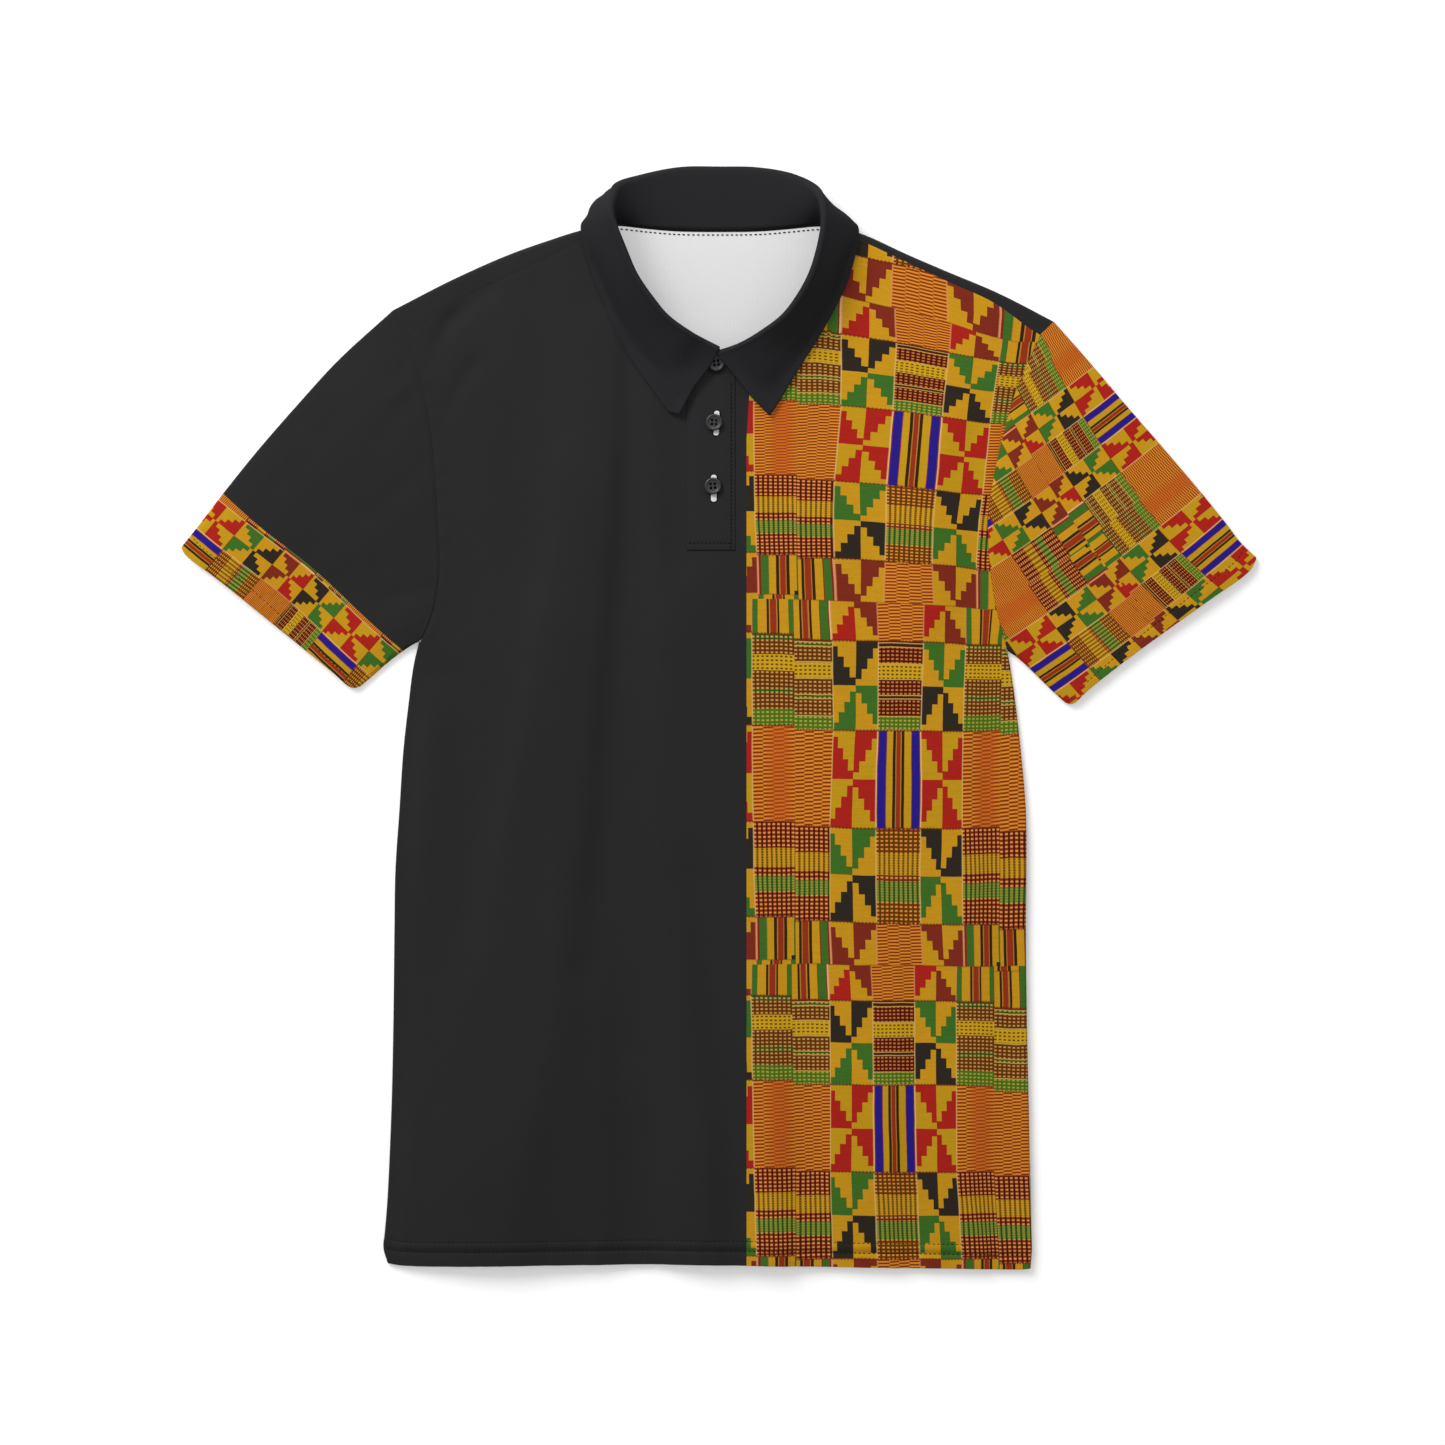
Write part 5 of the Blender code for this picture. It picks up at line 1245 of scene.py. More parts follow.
# -------------------------------------------------------------------- back
def make_back(materials):
    chest = spaced((-96, -79, 6), (-79, 80, 46), (80, 96, 5))
    cols = grid_columns(30, chest)
    left, right, corner = body_rows(3.8)
    n_high = 56
    f_high = np.linspace(0, 1, n_high + 1)[1:]
    first = next(i for i, c in enumerate(cols) if c[0] == "fix" and abs(c[2] + 79) < 1e-6)
    last = next(i for i, c in enumerate(cols) if c[0] == "fix" and abs(c[2] - 80) < 1e-6)
    tops, roll = [], {}
    for c, col in enumerate(cols):
        if first < c < last:
            tops.append((col[2], float(BACK_NECK.y_at(col[2]))))
            continue
        share = shoulder_share(col)
        fold, seam = (FOLD_L, SEAM_L) if col[1] else (FOLD_R_, SEAM_R)
        p, t, end = fold.at(share), fold.tangent(share), seam.at(share)
        n = np.array([t[1], -t[0]]) if col[1] else np.array([-t[1], t[0]])
        zb = float(back_z(p[0], p[1] - FOLD_R))
        r_out = max(float(front_z(*end)) - zb, 2 * FOLD_R) / 2
        if c in (0, len(cols) - 1):
            r_out = FOLD_R
            arm, y = (ARM_L, ARM_TOP[0]) if col[1] else (ARM_R, ARM_TOP[1])
            q = np.array([float(arm.x_at(y)), y])
            n = (p - q) / np.linalg.norm(p - q)
            gap = np.array([SEAM / 2 if col[1] else -SEAM / 2, 0])
            p, end = p + gap, q + gap
        tops.append(tuple(p - r_out * n))
        roll[c] = (p - r_out * n, n, zb, r_out, end)
    tops = np.array(tops)
    n_low = len(left)
    top_l, top_r = tops[0, 1], tops[-1, 1]
    y_l = np.concatenate([left, 122.6 + f_high * (top_l - 122.6)])
    y_r = np.concatenate([right, 122.6 + f_high * (top_r - 122.6)])
    rows_n = len(y_l)
    x_l = np.where(np.arange(rows_n) <= corner, side_x(y_l, True) + PLY + SEAM,
                   ARM_L.x_at(y_l) + SEAM / 2)
    x_r = np.where(np.arange(rows_n) <= corner, side_x(y_r, False) - PLY - SEAM,
                   ARM_R.x_at(y_r) - SEAM / 2)
    x = np.stack([column_x(c, x_l, x_r) for c in cols], 1)
    y = np.zeros_like(x)
    low = slice(0, n_low)
    share = (x[low] - x_l[low, None]) / (x_r[low] - x_l[low])[:, None]
    y[low] = y_l[low, None] + (y_r[low] - y_l[low])[:, None] * share
    fade = smooth(24, 90, y_l[low] + 381.6)
    follow = HEM.y_at(x[low]) + (y_l[low] + 381.6)[:, None] + 0.3
    y[low] = follow * (1 - fade[:, None]) + y[low] * fade[:, None]
    last_top = column_top(cols, x_l, x_r)
    for k, f in enumerate(f_high):
        r = n_low + k
        y[r] = SLOT_FOOT + f * (tops[:, 1] - SLOT_FOOT)
        y[r, 0], y[r, -1] = y_l[r], y_r[r]
        x[r] = x[r] + (tops[:, 0] - last_top) * f ** 3
    z = back_z(x, y)
    # Flat on the surface, with a few creases that lift it a little.
    inset = np.minimum(x - x_l[:, None], x_r[:, None] - x)
    lift = line_height(x, y, BACK_CREASES) * smooth(4, 40, inset)
    lift = lift * (1 - smooth(255, 290, y) * smooth(120, 90, np.abs(x))) * smooth(0, 30, hem_gap(x, y))
    z = z + np.maximum(lift, 0)
    z = z + 0.30 * bell(inset, 1.6) * (np.arange(rows_n) > corner)[:, None] * (y < 284)
    gap = hem_gap(x, y)
    for h in HEM_LINES:
        z = z + 0.22 * bell(gap - h, 1.1)
    z = z + 0.10 * smooth(20, 12, gap) * (1 + ripple(x, 11)) * smooth(0, 25, inset)
    z[-1] = [roll[c][2] if c in roll else z[-1, c] for c in range(len(cols))]
    grid = np.stack([x, y, z], -1)
    n = -normals(grid)
    n[..., 2] = -np.abs(n[..., 2])
    inner_up = -n
    # The half turn over each shoulder, and on to the seam in front of it.
    angles = np.linspace(0, 180, 11)[1:]
    strip = 5
    skin = Skin()
    t = PLY + 0.7 * smooth(19.2, 18.2, gap)
    keep = np.ones((rows_n - 1, len(cols) - 1), bool)
    # The flat part runs with its outside down: points run the other way.
    skin.shell(grid[:, ::-1], t[:, ::-1], np.zeros(grid[:, ::-1].shape[:2] + (2,)),
               grid[:, ::-1, :2] * MM, n=n[:, ::-1], keep=keep)
    folds = []
    for side in (0, 1):
        ids = [c for c in sorted(roll) if (cols[c][1]) == (side == 0)]
        pts, nn, kn = [], [], []
        for c in ids:
            p0, d, zb, r, end = roll[c]
            col_p, col_n, arc = [], [], []
            for a in np.concatenate([[0], angles]):
                a = math.radians(a)
                col_p.append((*(p0 + d * r * math.sin(a)), zb + r * (1 - math.cos(a))))
                col_n.append((*(d * math.sin(a)), -math.cos(a)))
                arc.append(r * a)
            top = np.array(col_p[-1])
            for k in range(1, strip + 1):
                f = k / strip
                q = top.copy()
                q[:2] = top[:2] * (1 - f) + end * f
                left_over = np.linalg.norm(end - q[:2])
                meet = float(front_face(*end)) if c not in (0, len(cols) - 1) else zb + 2 * r
                q[2] = (zb + 2 * r) * (1 - f) + meet * f - 0.12 * bell(left_over, 1.0) * (f > 0.2)
                col_p.append(tuple(q))
                col_n.append((0, 0, 1.0))
                arc.append(arc[len(angles)] + np.linalg.norm(q[:2] - top[:2]))
            pts.append(col_p)
            nn.append(col_n)
            kn.append([(p0[0], p0[1] + s) for s in arc])
        pts = np.array(pts).transpose(1, 0, 2)
        nn = np.array(nn).transpose(1, 0, 2)
        kn = np.array(kn).transpose(1, 0, 2) * MM
        skin.shell(pts[:, ::-1], PLY, np.zeros(pts.shape[:2] + (2,)), kn[:, ::-1], n=nn[:, ::-1])
        folds.append((pts, nn))
    obj = skin.build("back_cloth", materials, "back_cloth", ["back"], 48)
    return obj, grid, n, folds


# ----------------------------------------------------------------- sleeves
def sleeve_plan(left):
    arm, under, over, hem = ((ARM_L, UNDER_L, OVER_L, HEM_L) if left
                             else (ARM_R, UNDER_R, OVER_R, HEM_R))
    shift = np.array([-SEAM / 2 if left else SEAM / 2, 0.0])

    def at(u, v):
        u = np.asarray(u, float)[:, None]
        a, b = arm.at(u[:, 0]) + shift, hem.at(u[:, 0])
        c, d = under.at(v), over.at(v)
        corner = ((1 - u) * (1 - v) * under.at(0) + u * (1 - v) * over.at(0)
                  + (1 - u) * v * under.at(1) + u * v * over.at(1))
        return (1 - v) * a + v * b + (1 - u) * c + u * d - corner
    return at


def sleeve_z(x, y, u, side):
    z = 2 * FOLD_R + 1.5 * (4 * u * (1 - u)) ** 0.7
    table = [f for f in SLEEVE_FOLDS if f["side"] == side]
    z = z + line_height(x, y, table) * np.minimum(1, 12 * u * (1 - u))
    table = [f for f in SLEEVE_CREASES if f["side"] == side]
    return z + line_height(x, y, table) * np.minimum(1, 20 * u * (1 - u))


def make_sleeve(left, materials, fit=None):
    side = -1 if left else 1
    plan = sleeve_plan(left)
    length = 0.5 * ((UNDER_L if left else UNDER_R).length + (OVER_L if left else OVER_R).length)
    along = np.concatenate([spaced((0, 3, 4), (3, 9, 4), (9, length - 18, 40),
                                   (length - 18, length, 15))]) / length
    across = np.linspace(0, 1, 76)
    k_arc = 8
    grid, unrolled = [], []
    for v in along:
        base = plan(across, v)
        ends = []
        for i, j in ((0, 1), (-1, -2)):
            d = base[j] - base[i]
            d = d / np.linalg.norm(d)
            ends.append(-d)
            base[i] = base[i] + d * FOLD_R
        # Points near the ends stay ahead of the pulled-in ones.
        for i, j, d in ((0, 1, -ends[0]), (-1, -2, -ends[1])):
            if np.dot(base[j] - base[i], d) < 0.6:
                base[j] = base[i] + 0.6 * d
        d0, d1 = ends
        x, y = base[:, 0], base[:, 1]
        z = sleeve_z(x, y, across, side)
        seam = 1 - smooth(0, 0.1, v)
        z = z + (2 * FOLD_R - z) * 0.8 * seam
        dist = v * length
        to_hem = length - dist
        deep = 1 - 0.7 * smooth(238, 258, y)
        z = z - (0.38 * bell(dist, 1.0) - 0.20 * bell(dist - 3.0, 1.8)) * deep
        for h in SLEEVE_LINES:
            z = z - 0.28 * bell(to_hem - h, 1.0)
        z = z + 0.14 * smooth(14, 8, to_hem) * ripple(across * 220, 20 + side)
        z = z + 0.22 * smooth(9.5, 8.2, to_hem)
        z[0] = z[-1] = 2 * FOLD_R
        z[1] = min(z[1], 2 * FOLD_R + 0.2)
        z[-2] = min(z[-2], 2 * FOLD_R + 0.2)
        ring = [np.stack([x, y, z], -1)]
        flat = [np.stack([x, y], -1)]
        for a in np.linspace(0, 180, k_arc + 2)[1:-1]:
            ar = math.radians(a)
            p = base[-1] + d1 * FOLD_R * math.sin(ar)
            ring.append(np.array([[p[0], p[1], FOLD_R * (1 + math.cos(ar))]]))
            flat.append((base[-1] + d1 * FOLD_R * ar)[None])
        under = np.stack([x[::-1], y[::-1], np.zeros(len(x))], -1)
        inner_share = across[::-1]
        under[:, 2] = 0.30 * bell(dist, 1.5) * smooth(0, 0.1, inner_share * (1 - inner_share) * 4)
        ring.append(under)
        # Below, the cloth goes on: its print mirrors at the over-arm fold.
        run = np.linalg.norm(base[::-1] - base[-1], axis=1)
        flat.append(base[-1] + d1 * (FOLD_R * math.pi + run[:, None]))
        for a in np.linspace(180, 0, k_arc + 2)[1:-1]:
            ar = math.radians(a)
            p = base[0] + d0 * FOLD_R * math.sin(ar)
            ring.append(np.array([[p[0], p[1], FOLD_R * (1 + math.cos(ar))]]))
            flat.append((base[0] + d0 * FOLD_R * ar)[None])
        grid.append(np.concatenate(ring))
        unrolled.append(np.concatenate(flat))
    grid, unrolled = np.array(grid), np.array(unrolled)
    n = normals(grid, wrap=True)
    centre = grid.mean(axis=1, keepdims=True)
    # Upper faces look up.
    if n[len(n) // 2, 38, 2] < 0:
        n = -n
        flip = True
    else:
        flip = False
    to_hem = (1 - along)[:, None] * length * np.ones((1, grid.shape[1]))
    t = np.clip(PLY + 0.5 * smooth(9.6, 8.6, to_hem), 0, 1.5)
    knit = np.concatenate([np.cumsum(np.concatenate([np.zeros((len(grid), 1)),
                           np.linalg.norm(np.diff(grid, axis=1), axis=2)], 1), 1)[..., None],
                           (along[:, None] * length * np.ones((1, grid.shape[1])))[..., None]], -1) * MM
    if left:
        uv = band_print(unrolled, grid, along, length)
    else:
        uv = sleeve_print(unrolled[..., 0], unrolled[..., 1], fit)
    skin = Skin()
    if flip:
        skin.shell(grid[:, ::-1], t, uv[:, ::-1], knit[:, ::-1], wrap=True, n=n[:, ::-1])
    else:
        skin.shell(grid, t, uv, knit, wrap=True, n=n)
    name = "sleeve_left" if left else "sleeve_right"
    slot = "plain_sleeve_cloth" if left else "print_sleeve_cloth"
    obj = skin.build(name + "_cloth", materials, slot, [name], 48)
    return obj, grid, n, along, length


def band_print(unrolled, grid, along, length):
    """Strips run along the hem: s grows towards it, v along it."""
    cx = unrolled[..., 0] / CHART + CHART_0[0]
    cy = CHART_0[1] - unrolled[..., 1] / CHART
    v = -87.2 + 1.5235 * (cx - 300) + 1.2826 * (cy - 590)
    s = 2.44 - 0.01812 * (cx - 300) + 0.02131 * (cy - 590) + 0.13 * bell(v + 100, 90)
    v = v - 3 * ROW_PERIOD
    return np.stack([s / 10.0, v / 1000.0], -1)


# ------------------------------------------------------------------ collar
NAN = None
COLLAR = rows("sx sy sz  fx fy fz  r aim tilt  mx my mz  lx ly lz  ex ey ez",
    (0.9, 255.4, NAN, 0.1, 258.2, 13.2, 1.6, -115, 55, -5.5, 247.2, 11.2, -17.4, 231.4, 9.0, -28.2, 212.0, NAN),
    (-12.4, 258.4, NAN, -10.63, 263.31, 15.6, 1.6, -121, 53, -21.5, 245, 10.6, -29.4, 231, 9.4, -35.6, 214.4, NAN),
    (-23.2, 262.9, NAN, -19.95, 268.07, 19.5, 1.6, -128, 50, -34.5, 250.5, 13, -40, 238.5, NAN, -43.5, 225, NAN),
    (-40.3, 275, NAN, -36.33, 279.43, 23.5, 1.6, -138, 42, -50, 265, 14.2, -55, 254, NAN, -58.5, 245.6, NAN),
    (-50.8, 287, NAN, -46.32, 290.77, 26.5, 1.6, -146, 36, -60, 278, 15.5, -65, 269.6, NAN, -68.7, 262.4, NAN),
    (-63.7, 304.4, NAN, -58.44, 307.98, 29.2, 1.6, -158, 26, -71.5, 299, 17.5, -77, 292.5, NAN, -80.6, 288.6, NAN),
    (-72, 322.3, NAN, -66.15, 325.04, 31, 1.6, -168, 16, -79.5, 320, 19, -86.5, 315, NAN, -90.6, 313.2, NAN),
    (-76, 337.5, NAN, -72.79, 341.65, 31.5, 1.6, -176, 9, -85.5, 338.8, 19, -92, 336, 12.4, -95.7, 334, NAN),
    (-76.2, 344.6, 4.6, -75.75, 352.46, 30, 1.8, 168, 0, -87.5, 350.5, 17.5, -93, 349, 11, -96, 345.6, 7.6),
    (-71.5, 347, 3.6, -75.07, 362.37, 26, 2.2, 148, -20, -85.6, 361.4, 13, -89.6, 355, 4.2, -86, 345, 1),
    (-60, 344.6, 3.2, -71.8, 372.4, 15, 3, 130, -52, -76, 368.6, 6, -71, 360.5, 1.6, -68, 338.6, 0.95),
    (-42, 342.6, 3.1, -53, 379.8, 7, 3, 108, -78, -51.5, 375, 1.5, -50, 362, 0.95, -47, 335.6, 0.95),
    (-21, 341.3, 3.05, -27, 385.1, 3.75, 2.65, 96, -88, -26.5, 378, 1, -26, 362, 0.95, -24, 334.2, 0.95),
    (0, 340.9, 3.05, 0, 385.4, 3.6, 2.55, 90, -90, 0, 378, 0.95, 0, 362, 0.95, 0, 334, 0.95),
    (21, 341.3, 3.05, 26, 384.9, 3.75, 2.65, 85, -88, 25.5, 378, 1, 25, 362, 0.95, 24, 334.2, 0.95),
    (41, 342.7, 3.1, 50.5, 380.2, 7, 3, 72, -78, 49.5, 375, 1.5, 48.5, 362, 0.95, 46.5, 335.6, 0.95),
    (58, 344.6, 3.2, 66, 371.6, 15, 3, 52, -52, 68.4, 367.4, 6, 69, 361, 1.6, 67, 338.4, 0.95),
    (70, 346.6, 3.6, 70.82, 362.63, 26, 2.2, 34, -20, 79, 357.5, 13, 84.8, 352, 4.2, 84.5, 344.6, 1),
    (75.6, 344, 4.6, 72.35, 352.46, 30, 1.8, 12, 0, 85.5, 350, 17.5, 92.5, 347, 11, 96.2, 343.8, 7.6),
    (75.8, 337.5, NAN, 72.2, 341.8, 31.5, 1.6, 0, 9, 85.5, 339, 19, 93, 337, 12.4, 97, 334.6, NAN),
    (75.2, 325, NAN, 69.07, 325.46, 31.2, 1.6, -9, 16, 83, 322.5, 19.2, 90, 321, NAN, 94.3, 320, NAN),
    (70.6, 309, NAN, 63.59, 308.72, 29.8, 1.6, -18, 24, 77.5, 304.5, 17.8, 84, 301.5, NAN, 87.8, 300.6, NAN),
    (60.5, 291, NAN, 54.51, 292.5, 27.5, 1.6, -30, 33, 67, 285.5, 16, 73, 281, NAN, 77, 279.2, NAN),
    (48.2, 275.2, NAN, 44.13, 279.55, 25, 1.6, -38, 40, 56.5, 268.5, 14.6, 62, 262.5, NAN, 65.8, 260, NAN),
    (34.5, 266, NAN, 30.03, 269.22, 21.5, 1.6, -46, 46, 43, 254.5, 13.2, 49.5, 247, NAN, 55, 243.4, NAN),
    (20.7, 258.6, NAN, 18.46, 262.4, 19, 1.6, -55, 50, 32, 242.5, 12.8, 39, 232.5, NAN, 45, 226.6, NAN),
    (10.4, 255.4, NAN, 9.9, 258.89, 15.2, 1.6, -60, 53, 20.8, 239.8, 11.0, 29.2, 228.6, NAN, 38.6, 216.4, NAN),
    (0.2, 253.4, NAN, -2.6, 255.3, 11.4, 1.6, -64, 55, 9.6, 240.4, 10.2, 20.6, 226.2, 9.2, 35.1, 211.5, NAN))


def lay_z(x, y):
    """Middle of a double ply that lies on the front, or on the placket."""
    over = smooth(-33, -24, x) * (1 - smooth(12, 21, x))
    return front_z(x, y) + 0.35 + DOUBLE / 2 + 0.35 + 1.4 * over


def collar_section(c, n_stand, n_turn, n_leaf):
    seam = np.array([c["sx"], c["sy"], c["sz"] if c["sz"] is not None
                     else float(front_z(c["sx"], c["sy"])) - 0.6])
    crest = np.array([c["fx"], c["fy"], c["fz"]])
    aim, tilt, r = math.radians(c["aim"]), math.radians(c["tilt"]), c["r"]
    q = np.array([math.cos(aim), math.sin(aim), 0])
    up = np.array([0, 0, 1.0])
    across = q * math.cos(tilt) + up * math.sin(tilt)
    peak = -q * math.sin(tilt) + up * math.cos(tilt)
    mid_c = crest - r * peak
    turn = [mid_c - across * r * math.cos(a) + peak * r * math.sin(a)
            for a in np.linspace(0, math.pi, n_turn + 1)]
    mid = np.array([c["mx"], c["my"], c["mz"]])
    low = np.array([c["lx"], c["ly"], 0.0])
    low[2] = c["lz"] if c["lz"] is not None else float(lay_z(low[0], low[1])) + 1.2
    edge = np.array([c["ex"], c["ey"], 0.0])
    edge[2] = c["ez"] if c["ez"] is not None else float(lay_z(edge[0], edge[1]))

    def spread(points, shares):
        cu = Curve([dict(x=p[0], y=p[1], z=p[2]) for p in points], "x y z")
        d = np.concatenate([[0], np.cumsum(np.linalg.norm(np.diff(cu.p, axis=0), axis=1))])
        return [np.array([np.interp(k * d[-1], d, cu.p[:, a]) for a in range(3)])
                for k in shares], d[-1]
    a, _ = spread([seam, seam + (turn[0] - seam) * 0.5 - across * 0.4, turn[0]],
                  np.linspace(0, 1, n_stand + 1))
    # More points by the leaf's edge, so that it can be rounded.
    total = spread([turn[-1], mid, low, edge], [1.0])[1]
    near = np.array([1.6, 0.8, 0.35, 0.1, 0.0])
    shares = np.concatenate([np.linspace(0, 1 - 2.8 / total, n_leaf + 1), 1 - near / total])
    b, _ = spread([turn[-1], mid, low, edge], shares)
    return a[:-1] + turn + b[1:]


def make_collar(material):
    n_stand, n_turn, n_leaf = 11, 10, 22
    base = np.array([collar_section(c, n_stand, n_turn, n_leaf) for c in COLLAR])
    fine = []
    for k in range(base.shape[1]):
        cu = Curve([dict(x=p[0], y=p[1], z=p[2]) for p in base[:, k]], "x y z", 7)
        fine.append(cu.p)
    g = np.array(fine).transpose(1, 0, 2)          # sections x points
    # Extra sections close to both front edges, to round them.
    def extra(a, b, shares):
        return [a + (b - a) * s for s in shares]
    d0 = np.linalg.norm(g[1] - g[0], axis=1).mean()
    d1 = np.linalg.norm(g[-2] - g[-1], axis=1).mean()
    first = extra(g[0], g[1], [0.08 / d0, 0.3 / d0, 0.75 / d0])
    final = extra(g[-1], g[-2], [0.75 / d1, 0.3 / d1, 0.08 / d1])
    g = np.concatenate([g[:1], np.array(first), g[1:-1], np.array(final), g[-1:]])
    rows_n, cols_n = g.shape[:2]
    n = np.cross(np.gradient(g, axis=0), np.gradient(g, axis=1))
    n = n / np.maximum(np.linalg.norm(n, axis=2, keepdims=True), 1e-9)
    # Normals averaged a little, so that close rows keep one direction.
    for _ in range(2):
        m = n.copy()
        m[1:-1] += n[:-2] + n[2:]
        m[:, 1:-1] += n[:, :-2] + n[:, 2:]
        n = m / np.linalg.norm(m, axis=2, keepdims=True)
    # Leaf points never sink into what they lie on.
    first_leaf = n_stand + n_turn + 1
    leaf = g[:, first_leaf:]
    rest = lay_z(leaf[..., 0], leaf[..., 1]) + drape(leaf[..., 0], leaf[..., 1])
    on_front = leaf[..., 1] < 330
    leaf[..., 2] = np.where(on_front, np.maximum(leaf[..., 2], rest), leaf[..., 2])
    # Small unevenness along the leaf.
    s = np.arange(rows_n)[:, None] * 2.2
    depth = np.linspace(0, 1, cols_n - first_leaf)[None, :]
    soft_wave = 0.35 * np.sin(s / 17.0 + 1.0) + 0.25 * np.sin(s / 9.3 + 2.0)
    leaf[..., 2] += np.where(on_front, np.maximum(soft_wave * smooth(0.1, 0.5, depth)
                             * (1 - smooth(0.8, 1, depth)), -0.2), 0)
    g[:, first_leaf:] = leaf
    # Thickness: full inside, rounded to nothing at the leaf's edge and front ends.
    length = np.concatenate([np.zeros((rows_n, 1)),
                             np.cumsum(np.linalg.norm(np.diff(g, axis=1), axis=2), axis=1)], 1)
    to_edge = length[:, -1:] - length
    run = np.cumsum(np.concatenate([[0], np.linalg.norm(np.diff(g, axis=0), axis=2).mean(axis=1)]))
    to_end = np.minimum(run, run[-1] - run)[:, None]
    h = DOUBLE / 2
    d = np.minimum(np.clip(to_edge, 0, h), np.clip(to_end + 0 * to_edge, 0, h))
    half = np.sqrt(np.maximum(h * h - (h - d) ** 2, 0.0)) + 0.02
    # A stitched line along the leaf's edge presses it.
    press = 0.22 * bell(to_edge - 5.0, 0.8) * (length > 0)
    half = half - press * 0.6
    o = g + n * half[..., None]
    q = g - n * half[..., None]
    o[..., 2], q[..., 2] = np.maximum(o[..., 2], 0.0), np.maximum(q[..., 2], 0.0)
    knit = np.stack([run[:, None] * np.ones((1, cols_n)), length], -1) * MM
    zero = np.zeros((rows_n, cols_n, 2))
    skin = Skin()
    a = skin.points(o * MM, zero, knit)
    b = skin.points(q * MM, zero, knit)
    idx = np.arange(rows_n * cols_n).reshape(rows_n, cols_n)
    quad = np.stack([idx[:-1, :-1], idx[1:, :-1], idx[1:, 1:], idx[:-1, 1:]], -1).reshape(-1, 4)
    skin.faces(quad + a, 0)
    skin.faces(quad[:, ::-1] + b, 0)
    border = np.concatenate([
        np.stack([idx[:-1, 0], idx[1:, 0]], -1), np.stack([idx[1:, -1], idx[:-1, -1]], -1),
        np.stack([idx[-1, :-1], idx[-1, 1:]], -1), np.stack([idx[0, 1:], idx[0, :-1]], -1)])
    skin.faces(np.stack([border[:, 1] + a, border[:, 0] + a, border[:, 0] + b, border[:, 1] + b], -1), 0)
    obj = skin.build("collar_cloth", [material], "collar_cloth", ["collar"])
    return obj, g, n, half


# ----------------------------------------------------------------- placket
def make_strip(name, x_a, x_b, foot, lift, thick, material, slot, node, groove=True):
    xs = spaced((x_a, x_a + 0.5, 2), (x_a + 0.5, x_a + 4, 4), (x_a + 4, x_b - 4, 18),
                (x_b - 4, x_b - 0.5, 5), (x_b - 0.5, x_b, 2))
    k = 92
    top = neck_edge(xs) + 3.4 * bell(xs + 1.2, 5.5)
    s = np.concatenate([[0, 0.002, 0.006], np.linspace(0.015, 1, k)])
    x = xs[None, :] * np.ones((len(s), 1))
    y = foot + s[:, None] * (top - foot)[None, :]
    edge = np.minimum(np.minimum(x - x_a, x_b - x), (y - foot))
    r = 0.5
    drop = r - np.sqrt(np.maximum(r * r - (r - np.clip(edge, 0, r)) ** 2, 0))
    drop = drop + (thick - 0.55) * smooth(8.0, 0, edge)
    base = front_face(x, y)
    under = front_z(x, y)
    z = np.maximum(base, under) + lift + thick - drop * 0.9
    if groove:
        z -= 0.22 * bell(x_b - 2.6 - x, 0.55)
        z -= 0.16 * bell(y - 122.6, 0.5) * (x < 9.0)
        z += 0.05 * ripple(y, 41) * smooth(6, 2, x_b - 2.7 - x)
    grid = np.stack([x, y, z], -1)
    n = normals(grid)
    n = n * np.sign(n[..., 2:3])
    skin = Skin()
    skin.shell(grid, 0.5, np.zeros(grid.shape[:2] + (2,)),
               grid[..., :2] * MM, n=n)
    return skin.build(name, [material, material], slot, [node]), grid, n


# ------------------------------------------------------------------ thread
def tube_run(skin, path, normal, radius, sides=6, u0=0.0):
    """A thread through points, with its ends closed to a small tip."""
    path, normal = np.asarray(path, float), np.asarray(normal, float)
    t = np.gradient(path, axis=0)
    t = t / np.maximum(np.linalg.norm(t, axis=1, keepdims=True), 1e-9)
    side = np.cross(t, normal)
    side = side / np.maximum(np.linalg.norm(side, axis=1, keepdims=True), 1e-9)
    up = np.cross(side, t)
    r = np.full(len(path), radius)
    r[0] = r[-1] = radius * 0.35
    ang = 2 * np.pi * np.arange(sides) / sides
    p = (path[:, None] + r[:, None, None] * (np.cos(ang)[None, :, None] * side[:, None]
         + np.sin(ang)[None, :, None] * up[:, None]))
    run = np.concatenate([[0], np.cumsum(np.linalg.norm(np.diff(path, axis=0), axis=1))])
    uv = np.stack([np.broadcast_to(run[:, None] + u0, (len(path), sides)),
                   np.broadcast_to(ang[None] * radius, (len(path), sides))], -1) * MM
    base = skin.points(p * MM, np.zeros((len(path) * sides, 2)), uv)
    idx = np.arange(len(path) * sides).reshape(len(path), sides)
    nxt = np.roll(idx, -1, axis=1)
    q = np.stack([idx[:-1], nxt[:-1], nxt[1:], idx[1:]], -1).reshape(-1, 4)
    skin.faces(q + base, 0)
    # Flat caps, as two quads each for six sides.
    first, final = idx[0], idx[-1]
    skin.faces(np.array([[first[3], first[2], first[1], first[0]],
                         [first[0], first[5], first[4], first[3]],
                         [final[0], final[1], final[2], final[3]],
                         [final[3], final[4], final[5], final[0]]]) + base, 0)


